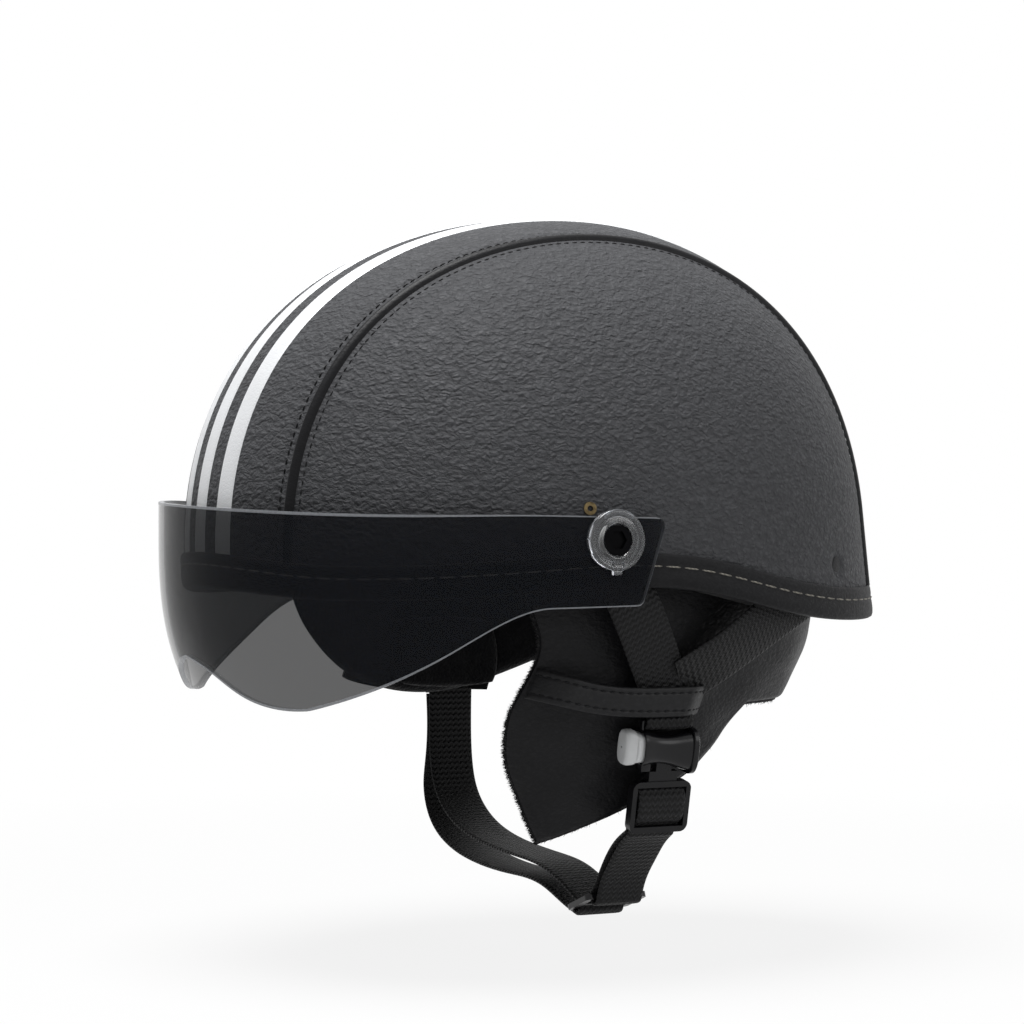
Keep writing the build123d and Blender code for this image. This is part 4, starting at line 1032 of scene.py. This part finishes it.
def flap_patches(shrink=0.0):
    """The flap's left and right halves, drawn in from their free edges by shrink."""
    halves = []
    for right in (False, True):
        if right:
            edge = smooth_line([(-72.2, 4.2), (-68.0, -19.9), (-59.0, -35.0), (-42.0, -49.0),
                                (2.6, -57.5), (46.0, -45.0)], 160)
            edge = np.concatenate([edge, [(52.0, -50.5), (57.5, -55.9)]])
            edge = below_rim(edge)
            corner_row = np.argmax(edge[:, 0] > -46.0)
            front, hem = edge[:corner_row + 1], edge[corner_row:]
        else:
            front = smooth_line([(-46.0, 4.2), (-40.5, -19.9), (-36.8, -34.0), (-44.7, -57.0),
                                 (-41.0, -77.0), (-27.9, -104.6)], 160)
            front = below_rim(front)
            hem = smooth_line([(-27.9, -104.6), (0.0, -93.5), (32.4, -76.4), (55.0, -55.96)], 90)
        middle = np.array([(front[:, 0].mean() + 50, -35.0)])
        if shrink:
            front = front + unit(middle - front) * shrink
            hem = hem + unit(middle - hem) * shrink
            hem[0] = front[-1]
        front, hem = flap_place(front, right), flap_place(hem, right)
        nape = np.linspace(hem[-1, 0], pi / 2, 60)
        nape_level = flap_level_at(nape, lambda y: nape_height + shrink + 0 * y)
        nape = np.stack([nape, nape_level], axis=-1)
        bottom = np.concatenate([hem[:-1], nape])
        top = np.linspace(front[0, 0], pi / 2, 120)
        top = np.stack([top, flap_level_at(top, lambda y: rim_height(y) - rim_gap)], axis=-1)
        top[0], bottom[0] = front[0], front[-1]
        back = np.linspace(top[-1], bottom[-1], 60)
        halves.append(patch(front, bottom, top, back, 150, 76))
    left, right = halves
    return np.concatenate([left, right[:, -2::-1]], axis=1)


def soft_folds(grid, depth=1.7):
    """Slow folds and finer creases, stronger low down where the flap hangs free."""
    azimuth, level = grid[..., 0] * ear_radius, grid[..., 1]
    free = np.clip((-level - 22) / 45, 0, 1)
    folds = np.sin(azimuth / 9.5 + level / 26) * 0.5 + np.sin(azimuth / 17 - level / 12 + 1) * 0.4
    creases = np.sin((azimuth + level) / 4.3 + 2 * np.sin(level / 14)) * 0.12
    creases += np.sin((azimuth - 1.7 * level) / 6.1 + np.sin(azimuth / 21)) * 0.16
    return depth * free * (folds + creases)


flap_leather = leather("flap_leather", (0.009, 0.009, 0.010), 1.3, 0.10, 0.40, 0.13)
flap_grid = flap_patches()
waves = soft_folds(flap_grid)
turned_edge = np.zeros(flap_grid.shape[:2])
edge_turn = np.array([0.1, 0.3, 0.75])
turned_edge[-3:, :] += edge_turn[:, None]
turned_edge[:, :3] += edge_turn[::-1]
turned_edge[:, -3:] += edge_turn
turned_edge = np.minimum(turned_edge, edge_turn[-1])
outer = on_flap(flap_grid[..., 0], flap_grid[..., 1], waves + turned_edge)
inner = on_flap(flap_grid[..., 0], flap_grid[..., 1], waves + flap_thickness - 0.15)
flap = make("neck_flap_leather", *slab(outer, inner), flap_leather, crease=60)
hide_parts("neck_flap")

# Flap lining
# Black pile fabric over thin wadding, bagged out with the leather, its fibres showing along the
# free edges. The folded-up part of the right flap lies inside it as a pad.
pile = new_finish("flap_pile", (0.006, 0.006, 0.007), 1.0, Sheen_Weight=0.12, Sheen_Roughness=0.6,
                  Specular_IOR_Level=0.05)
coords = object_coords(pile)
tufts = cells(pile, coords, 1.1)
clumps = noise(pile, coords, 5.0, 5.0, 0.65)
tint(pile, remap(pile, clumps, 0, 1, 0.3, 0.7), (0.003, 0.003, 0.004), (0.011, 0.011, 0.012))
bump(pile, clumps, 0.9)
bump(pile, tufts, 0.35)
row_step, edge_round = 0.9, 3.2
pile_gap, wadding_edge, wadding_fullness = 0.1, 0.8, 4.9
lining_grid = flap_patches(-0.9)
rows, columns = lining_grid.shape[:2]
row = np.arange(rows)[:, None]
column_index = np.arange(columns)[None]
from_edge = np.minimum(column_index, columns - 1 - column_index)
from_edge = np.minimum(from_edge, np.minimum(rows - 1 - row, row + 3)) * row_step
puff = 1 - np.exp(-from_edge / edge_round)
lining_waves = soft_folds(lining_grid)
lining_face = lining_waves + flap_thickness
outer = on_flap(lining_grid[..., 0], lining_grid[..., 1], lining_face + pile_gap)
inner = on_flap(lining_grid[..., 0], lining_grid[..., 1],
                lining_face + wadding_edge + wadding_fullness * puff)
flap_lining = make("neck_flap_pile", *slab(outer, inner), pile)
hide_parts("neck_flap_lining")

random = np.random.default_rng(7)
edge_rows = []
for line, count in ((inner[:, 0], 900), (outer[:, 0], 500), (inner[-1, :150], 700)):
    far = distance_along(line)
    edge_rows.append(at_distances(line, far, random.uniform(0, far[-1], count)))
roots = np.concatenate(edge_rows)
count = len(roots)
lean = unit(random.normal(0, 0.55, (count, 3)) + (-0.35, -0.9, -0.25))
length = random.uniform(0.8, 1.7, count)[:, None]
across = unit(np.cross(lean, (0.3, 0.2, 0.9)))
other = np.cross(lean, across)
fibre = 0.11
points = np.stack([roots + across * fibre, roots - across * fibre / 2 + other * fibre,
                   roots - across * fibre / 2 - other * fibre, roots + lean * length], axis=1)
start = np.arange(count)[:, None] * 4
faces = np.concatenate([start + (0, 1, 3), start + (1, 2, 3), start + (2, 0, 3),
                        start + (0, 2, 1)])
make("pile_fringe", points.reshape(-1, 3), faces, pile)

tuck_half = 26.0
tuck_low, tuck_high = -56.5, -28.5
tuck_inset, tuck_fullness = 10.3, 2.2
tuck_rows, tuck_columns = 28, 46
u = np.linspace(-1, 1, tuck_columns)[None]
v = np.linspace(-1, 1, tuck_rows)[:, None]
pinch = 1 - 0.13 * (u**2 * v**2)
tuck_y = tuck_half * u * pinch
tuck_z = (tuck_low + tuck_high) / 2 + (tuck_high - tuck_low) / 2 * v * pinch
swell = np.clip((1 - u**8) * (1 - v**8), 0, 1) ** 0.5
swell = swell * (1 + 0.1 * np.sin(tuck_y / 5 + tuck_z / 9))
place = flap_place(np.stack([tuck_y.ravel(), tuck_z.ravel()], axis=-1), True)
place = place.reshape(tuck_rows, tuck_columns, 2)
near = on_flap(place[..., 0], place[..., 1], tuck_inset - tuck_fullness * swell)
away = on_flap(place[..., 0], place[..., 1], tuck_inset + tuck_fullness * swell)
tuck = make("folded_flap_pad", *slab(near, away), pile)
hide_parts("neck_flap_tuck")

# Strap keepers
# A leather strip on each ear flap, sewn down at both ends and stitched along both edges; the
# straps pass behind it.
keeper_finish = leather("keeper_leather", (0.015, 0.015, 0.016), 1.3, 0.05, 0.42, 0.16)
keeper_thickness = 1.4
keeper_levels = [0, 48.2, 58.7, 96.4]
keeper_draws = [10.6, 10.6, 12.0, 19.4]
end_draw, end_length = 8.2, 11.0
thread_share = 0.6
keeper_top = smooth_line([(-38.0, -41.2), (-20.0, -46.6), (0.0, -48.2), (14.0, -48.3),
                          (28.0, -48.2)], 110)
keeper_low = smooth_line([(-42.0, -51.7), (-20.0, -57.1), (0.0, -58.7), (12.0, -58.8),
                          (24.0, -58.7)], 110)
half_span = np.array([0, 0.25, 0.45, 0.56, 0.6, 0.64, 0.7, 0.8, 0.9, 0.96, 1.0])
half_span = np.concatenate([-half_span[:0:-1], half_span])


def on_keeper(across, inset):
    """Points of the keeper's face, across from its lower edge at -1 to its upper one at 1."""
    across = np.asarray(across, float)[:, None, None]
    place = keeper_low + (keeper_top - keeper_low) * (across + 1) / 2
    y, z = place[..., 0], place[..., 1]
    level_y, level = levelled(y, z)
    far = distance_along(keeper_low)
    from_end = np.minimum(far, far[-1] - far)
    ease = end_draw * np.clip(1 - from_end / end_length, 0, 1) ** 1.6
    draw = np.interp(-level, keeper_levels, keeper_draws) + ease + inset
    x = (half_width - draw) * (1 - (level_y / (half_length - draw)) ** 2) ** 0.5
    return np.stack([x, y, z], axis=-1)


groove = 0.3 * np.exp(-((np.abs(half_span) - thread_share) / 0.05) ** 2)
rim_drop = 0.55 * np.clip((np.abs(half_span) - 0.86) / 0.14, 0, 1) ** 2
outer = on_keeper(half_span, (groove + rim_drop)[:, None] - 0.05)
inner = on_keeper(half_span, keeper_thickness)
thread_lines = [on_keeper([place], 0.1)[0] for place in (-thread_share, thread_share)]
for side, name in sides:
    points, faces = slab(outer * (side, 1, 1), inner * (side, 1, 1))
    keeper = make(f"keeper_{name}", points, faces, keeper_finish, crease=60)
    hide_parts(f"strap_keeper_{name}")
    for line, row in zip(thread_lines, ("lower", "upper")):
        line = line * (side, 1, 1)
        away = unit(line * (1 / half_width**2, 1 / half_length**2, 0))
        stitches(f"keeper_stitches_{name}_{row}", line, away, 3.4, 2.7, 0.6, black_thread)

# Webbing straps
# Flat woven webbing, ribbed across. A front and a rear strap on each side come down inside the
# shell and meet behind the keeper; the left front one goes round the buckle's bar.
webbing_width = 19.0
webbing_half_thickness = 0.7
rib_half_width = 1.15
rib_pitch = 2.2
yarn_pitch = 0.575
strap_seat = 4.6
strap_swing = 11.0
webbing_span = np.array([-1, -0.97, -0.9, -0.75, -0.5, -0.25, 0, 0.25, 0.5, 0.75, 0.9, 0.97, 1])
webbing_round = (1 - np.abs(webbing_span) ** 14) ** 0.5 * webbing_half_thickness + 0.02
webbing_finish = new_finish("webbing", (0.0035, 0.0035, 0.004), 0.55, Sheen_Weight=0.05,
                            Sheen_Roughness=0.4, Specular_IOR_Level=0.16)
run = wire(webbing_finish, "UVMap", {"uv_map": "run"}).outputs[0]
run = wire(webbing_finish, "SeparateXYZ", _0=run)
across_run, down_run = run.outputs[0], run.outputs[1]
zigzag = calc(webbing_finish, "PINGPONG", across_run, rib_half_width)
slanted = calc(webbing_finish, "MULTIPLY_ADD", zigzag, 0.75, down_run)
rib = calc(webbing_finish, "SINE", calc(webbing_finish, "MULTIPLY", slanted, tau / rib_pitch))
yarn = calc(webbing_finish, "MULTIPLY", across_run, tau / yarn_pitch)
yarn = calc(webbing_finish, "COSINE", yarn)
rib = remap(webbing_finish, rib, 0, 1, -1, 1)
weave_relief_and_highlight = calc(webbing_finish, "MULTIPLY_ADD", yarn, 0.14, rib)
# Rib tops painted lighter and the hollows between ribs darker: painted highlight and shade on the
# webbing's ribs.
tint(webbing_finish, weave_relief_and_highlight, (0.002, 0.002, 0.002), (0.012, 0.012, 0.013))
bump(webbing_finish, weave_relief_and_highlight, 0.4)


def webbing(name, outer, inner, along, body="shell", closed=False):
    """Strap between two grids of points, across by along; along is the distance down it."""
    points, faces = slab(outer, inner, closed)
    across = webbing_span * webbing_width / 2
    runs = np.stack(np.meshgrid(across, along, indexing="ij"), axis=-1).reshape(-1, 2)
    return make(name, points, faces, webbing_finish, body, np.concatenate([runs, runs]), 50)


def rounded(corners, cut, step):
    """Line through corners, each cut back and rounded, with points a step apart."""
    corners = np.asarray(corners, float)
    line = [corners[:1]]
    for before, here, after in zip(corners, corners[1:], corners[2:]):
        start = here + unit(before - here) * cut
        end = here + unit(after - here) * cut
        line.append(bezier_between(start, here, end, 9))
    line = np.concatenate(line + [corners[-1:]])
    far = distance_along(line)
    return at_distances(line, far, np.linspace(0, far[-1], int(far[-1] / step) + 1))


front_swing = np.array([(27.0, 0.175), (18.0, 0.076), (10.0, 0.022), (0, 0), (-18.0, 0.03),
                        (-30.0, 0.30), (-55.0, 1.0), (-72.5, 1.12)])
rear_swing = np.array([(10.0, 0.022), (0, 0), (-33.0, 0), (-40.0, 0.25), (-47.5, 0.68),
                       (-55.0, 1.0), (-72.5, 1.12)])


def wall_strap(line, swing, sink):
    """Outer and inner grids of a strap along a line seen from the left side."""
    run = unit(np.gradient(line, axis=0))
    across = np.stack([-run[:, 1], run[:, 0]], axis=-1)
    place = line + across * webbing_span[:, None, None] * webbing_width / 2
    y, z = place[..., 0], place[..., 1]
    level_y, level = levelled(y, z)
    near = level + np.linspace(-4, 4, 9)[:, None, None]
    share = np.interp(near, swing[::-1, 0], swing[::-1, 1]).mean(axis=0)
    draw = strap_seat + strap_swing * share + sink
    faces = []
    for way in (-1, 1):
        inset = draw + webbing_half_thickness + way * webbing_round[:, None]
        x = (half_width - inset) * (1 - (level_y / (half_length - inset)) ** 2) ** 0.5
        faces.append(np.stack([x, y, z], axis=-1))
    return faces


def ribbon(path, middle_y):
    """Outer and inner grids of webbing along an (x, z) path, its width along y."""
    run = unit(np.gradient(path, axis=0))
    out = np.stack([run[:, 1], -run[:, 0]], axis=-1)
    faces = []
    for way in (1, -1):
        place = path + out * way * webbing_round[:, None, None]
        y = middle_y + webbing_span[:, None] * webbing_width / 2 + 0 * place[..., 0]
        faces.append(np.stack([place[..., 0], y, place[..., 1]], axis=-1))
    return faces


buckle_y = 9.0
buckle_across = np.array((0, 1, 0))
buckle_up = np.array((0.20791, 0, 0.97815))
buckle_out = np.array((0.97815, 0, -0.20791))
buckle_middle = np.array((87.0, buckle_y, -70.8))
bar_rise = 10.55
loop_radius = 2.2
bar_middle = buckle_middle + bar_rise * buckle_up
front_line = rounded([(-33.0, 22.0), (4.0, -44.0), (9.0, -50.0), (9.0, -55.0)], 3.4, 0.8)
upper = wall_strap(front_line, front_swing, 0.0)
end_x = (upper[0][6, -1, 0] + upper[1][6, -1, 0]) / 2
turn = np.linspace(0.15, pi + 0.2, 22)
loop = bar_middle[[0, 2]] + loop_radius * np.stack([np.cos(turn), -np.sin(turn)], axis=-1)
loop = np.concatenate([
    smooth_line([(end_x, -55.0), (end_x + 0.7, -57.3), loop[0]], 8)[1:-1], loop,
    smooth_line([loop[-1], (86.9, -57.0), (87.1, -52.5)], 8)[1:],
])
lower = ribbon(loop, buckle_y)
outer = np.concatenate([upper[0], lower[1]], axis=1)
inner = np.concatenate([upper[1], lower[0]], axis=1)
along = distance_along((outer[6] + inner[6]) / 2)
front_left = webbing("front_strap_left", outer, inner, along)
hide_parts("strap_front_left")
line = rounded([(-33.0, 22.0), (4.0, -44.0), (9.0, -50.0), (9.0, -59.6)], 3.4, 0.8)
outer, inner = wall_strap(line, front_swing, 0.0)
front_right = webbing("front_strap_right", outer * (-1, 1, 1), inner * (-1, 1, 1),
                      distance_along(line))
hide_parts("strap_front_right")
line = rounded([(92.0, -5.0), (52.0, -23.5), (13.0, -47.5)], 9.0, 0.8)
under = np.clip((30 - line[:, 0]) / 14, 0, 1)
outer, inner = wall_strap(line, rear_swing, 1.7 * under**2 * (3 - 2 * under))
for side, name in sides:
    rear = webbing(f"rear_strap_{name}", outer * (side, 1, 1), inner * (side, 1, 1),
                   distance_along(line))
    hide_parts(f"strap_rear_{name}")

# Quick-release buckle
# Black moulded barrel across the strap, with a pressed-in pale slider whose cap stands at its
# front, and a tongue moulded with the ring plate that the chin strap is threaded through.


def in_buckle(part):
    """Points given across, up and out on the buckle's face, in the helmet's frame."""
    points, faces = part
    points = np.asarray(points, float)
    place = (points[..., 0:1] * buckle_across + points[..., 1:2] * buckle_up
             + points[..., 2:3] * buckle_out)
    return buckle_middle + place, faces


def buckle_block(low, high, radius):
    """Rounded block with its corners given across, up and out."""
    return in_buckle(rounded_block(low, high, radius))


def tube(rows, count=56):
    """Rings of rounded outline along the buckle; each row is across, middle, half up, half out."""
    squareness = 0.68
    angle = np.linspace(0, tau, count, endpoint=False)
    across, middle, up, out = np.array(rows, float).T[..., None]
    rise = np.sign(np.sin(angle)) * np.abs(np.sin(angle)) ** squareness
    reach = np.sign(np.cos(angle)) * np.abs(np.cos(angle)) ** squareness
    rings = np.stack([across + 0 * rise, middle + up * rise, out * reach], axis=-1)
    return rings, grid_faces(len(rows), count, True).tolist()


buckle_finish = moulded("buckle_plastic", (0.004, 0.004, 0.005), 0.22, 0.8, 0.003,
                        Specular_IOR_Level=0.25)
barrel_rows = [
    (-10.9, 1.5, 6.2, 5.8), (-10.6, 1.5, 6.5, 6.1), (-9.6, 1.45, 6.45, 6.05),
    (-8.0, 1.35, 6.0, 5.75), (-6.0, 1.2, 5.55, 5.5), (-4.0, 1.0, 5.3, 5.35),
    (-1.5, 0.75, 5.3, 5.35), (1.0, 0.5, 5.6, 5.45), (3.5, 0.25, 6.15, 5.65), (6.0, 0.1, 6.8, 5.95),
    (8.4, 0, 7.25, 6.2), (8.5, 0, 8.1, 6.9), (8.8, 0, 8.45, 7.2), (10.2, 0, 8.45, 7.2),
    (10.5, 0, 8.1, 6.9), (10.5, 0, 1.6, 1.6), (8.9, 0, 1.6, 1.6), (8.8, 0, 5.9, 4.9),
    (4.5, 0.2, 5.2, 4.8), (-1.5, 0.75, 4.5, 4.6), (-4.8, 1.1, 4.5, 4.6), (-6.6, 1.3, 5.6, 5.0),
    (-10.6, 1.5, 5.75, 5.3), (-10.9, 1.5, 6.0, 5.5), (-10.9, 1.5, 6.2, 5.8),
]
barrel = make("buckle_barrel", *joined(
    in_buckle(tube(barrel_rows)),
    buckle_block((9.85, 5.2, -1.5), (10.7, 11.4, 1.5), 0.35),
    buckle_block((-10.7, 5.2, -1.5), (-9.85, 11.4, 1.5), 0.35),
    buckle_block((-10.0, 9.65, -0.9), (10.0, 11.45, 0.9), 0.5),
    buckle_block((-9.6, -7.3, -2.2), (-5.95, -3.4, 2.2), 0.4),
    buckle_block((10.2, -5.0, -2.2), (11.7, -1.7, 2.2), 0.4),
), buckle_finish, crease=45)
cut_out(barrel, *buckle_block((-3.3, -9.0, -1.55), (3.3, 0, 1.55), 0.2))
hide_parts("buckle_body")
refinish("buckle_tongue", moulded("adjuster_plastic", (0.005, 0.005, 0.006), 0.28, 0.6, 0.006,
                                  Specular_IOR_Level=0.22))
button_finish = moulded("button_plastic", (0.55, 0.56, 0.565), 0.35, 0.6, 0.012)
cap_rows = [
    (-17.4, 1.7, 0.3, 0.3), (-17.4, 1.7, 4.9, 2.6), (-17.2, 1.7, 5.8, 3.3),
    (-16.7, 1.7, 6.25, 3.9), (-15.9, 1.65, 6.45, 4.2), (-13.8, 1.6, 6.35, 4.3),
    (-13.3, 1.55, 6.1, 4.4), (-13.1, 1.5, 5.5, 4.9), (-9.4, 1.45, 5.35, 4.8),
    (-9.3, 1.45, 5.1, 4.6), (-9.3, 1.45, 0.3, 0.3),
]
button = make("release_slider", *joined(
    in_buckle(tube(cap_rows)),
    buckle_block((-10.5, -1.4, 2.3), (5.0, 1.4, 3.3), 0.2),
    buckle_block((-10.5, -1.4, -3.3), (5.0, 1.4, -2.3), 0.2),
    buckle_block((3.95, -1.4, -3.3), (5.0, 1.4, 3.3), 0.2),
    buckle_block((4.8, -1.15, -1.15), (11.8, 1.15, 1.15), 0.4),
    buckle_block((10.65, -1.2, -1.4), (11.9, 5.2, 1.4), 0.4),
), button_finish, "button", crease=45)
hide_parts("release_button")
spring_low, spring_high = 5.0, 8.75
spring_turns = 3
coil_radius, wire_radius = 1.9, 0.25
spring_end = wire_radius + 0.03
coil_rings, wire_sides = 150, 10
coil_points = coil_rings * wire_sides
spring_turn = np.linspace(0, spring_turns * tau, coil_rings)[:, None]
wire_turn = np.linspace(0, tau, wire_sides, endpoint=False)
wire_reach = coil_radius + wire_radius * np.cos(wire_turn)
climb = (spring_high - spring_low - 2 * spring_end) * spring_turn / (spring_turns * tau)
coil = np.stack([spring_low + spring_end + climb + wire_radius * np.sin(wire_turn),
                 wire_reach * np.cos(spring_turn), wire_reach * np.sin(spring_turn)], axis=-1)
coil_faces = grid_faces(coil_rings, wire_sides, True).tolist()
coil_faces += [list(range(wire_sides))[::-1], list(range(coil_points - wire_sides, coil_points))]
spring = make("return_spring", *in_buckle((coil.reshape(-1, 3), coil_faces)),
              metal("spring_steel", (0.45, 0.45, 0.46), 0.25, (0.6, 0.6, 0.62)))
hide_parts("button_spring")
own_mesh(spring)

# Chin strap
# One belt of the same webbing, threaded through the ring plate so that it fills the window, and
# joined by a flat three-bar slider to the long loop from the right side.


def local(up, out):
    """A place on the buckle's middle plane, in x and z."""
    place = buckle_middle + up * buckle_up + out * buckle_out
    return place[[0, 2]]


slider_slope = radians(20)
slider_up = np.array((-cos(slider_slope), -sin(slider_slope)))
slider_middle = np.array((45.0, -129.0))
slider_bar_offset = 7.3
near_bar = slider_middle - slider_bar_offset * slider_up
far_bar = slider_middle + slider_bar_offset * slider_up
spine = smooth_line([local(-31.5, -3.9), (70.6, -104.4), (64.0, -110.2), (57.6, -117.6),
                     near_bar], 60)
run = unit(np.gradient(spine, axis=0))
out = np.stack([-run[:, 1], run[:, 0]], axis=-1)
part = np.linspace(0, 1, len(spine))[:, None]
spread = 0.95 + 0.7 * np.sin(pi * np.clip(part * 1.15, 0, 1)) ** 2 + 1.55 * part**5
head = smooth_line([spine[0] + out[0] * spread[0], local(-26.6, -0.2), local(-24.0, 2.0),
                    local(-20.65, 2.35), local(-16.6, 2.2), local(-14.5, 0.3),
                    local(-15.8, -2.2), local(-21.0, -3.6), local(-27.0, -4.6),
                    spine[0] - out[0] * spread[0]], 90)
turn = np.linspace(0, pi, 20)[1:-1, None]
foot = near_bar + 2.5 * (out[-1] * np.cos(turn) + run[-1] * np.sin(turn))
belt = np.concatenate([(spine + out * spread)[::-1], head[1:-1], spine - out * spread, foot[::-1]])
closed_belt = np.concatenate([belt[-3:], belt, belt[:3]])
outer, inner = (grid[:, 3:-3] for grid in ribbon(closed_belt, buckle_y))
chin = webbing("chin_belt", outer, inner, distance_along(belt), "tongue", True)
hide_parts("chin_strap")
refinish("strap_slider", moulded("slider_plastic", (0.006, 0.006, 0.007), 0.28, 0.6, 0.01,
                                 Specular_IOR_Level=0.25))

# Long chin loop
# The same webbing from the right strap under the chin, round the slider's far bar and back.
bar_reach = 2.56
down = smooth_line([(-88.8, -60.0), (-88.0, -72.0), (-89.6, -86.0), (-91.4, -97.0),
                    (-86.5, -109.0), (-72.0, -118.0), (-50.0, -122.8), (-18.0, -124.6),
                    (12.0, -126.4), (28.0, -131.2), far_bar + (0.6, -2.5)], 200)
back = smooth_line([far_bar + (0.0, bar_reach), (28.0, -124.5), (12.0, -119.6), (-8.0, -117.6),
                    (-30.0, -116.2), (-52.0, -113.2), (-70.0, -107.0), (-81.5, -97.0),
                    (-85.6, -84.0), (-86.3, -70.0), (-86.0, -58.0)], 190)
turn = np.linspace(-pi / 2 + 0.24, pi / 2, 16)[1:-1, None]
bend = far_bar + bar_reach * np.concatenate([np.cos(turn), np.sin(turn)], axis=1)
path = np.concatenate([down, bend, back])
outer, inner = ribbon(path, buckle_y)
long_loop = webbing("long_chin_loop", outer, inner, distance_along(path), body=None)
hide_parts("chin_loop")
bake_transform(long_loop)
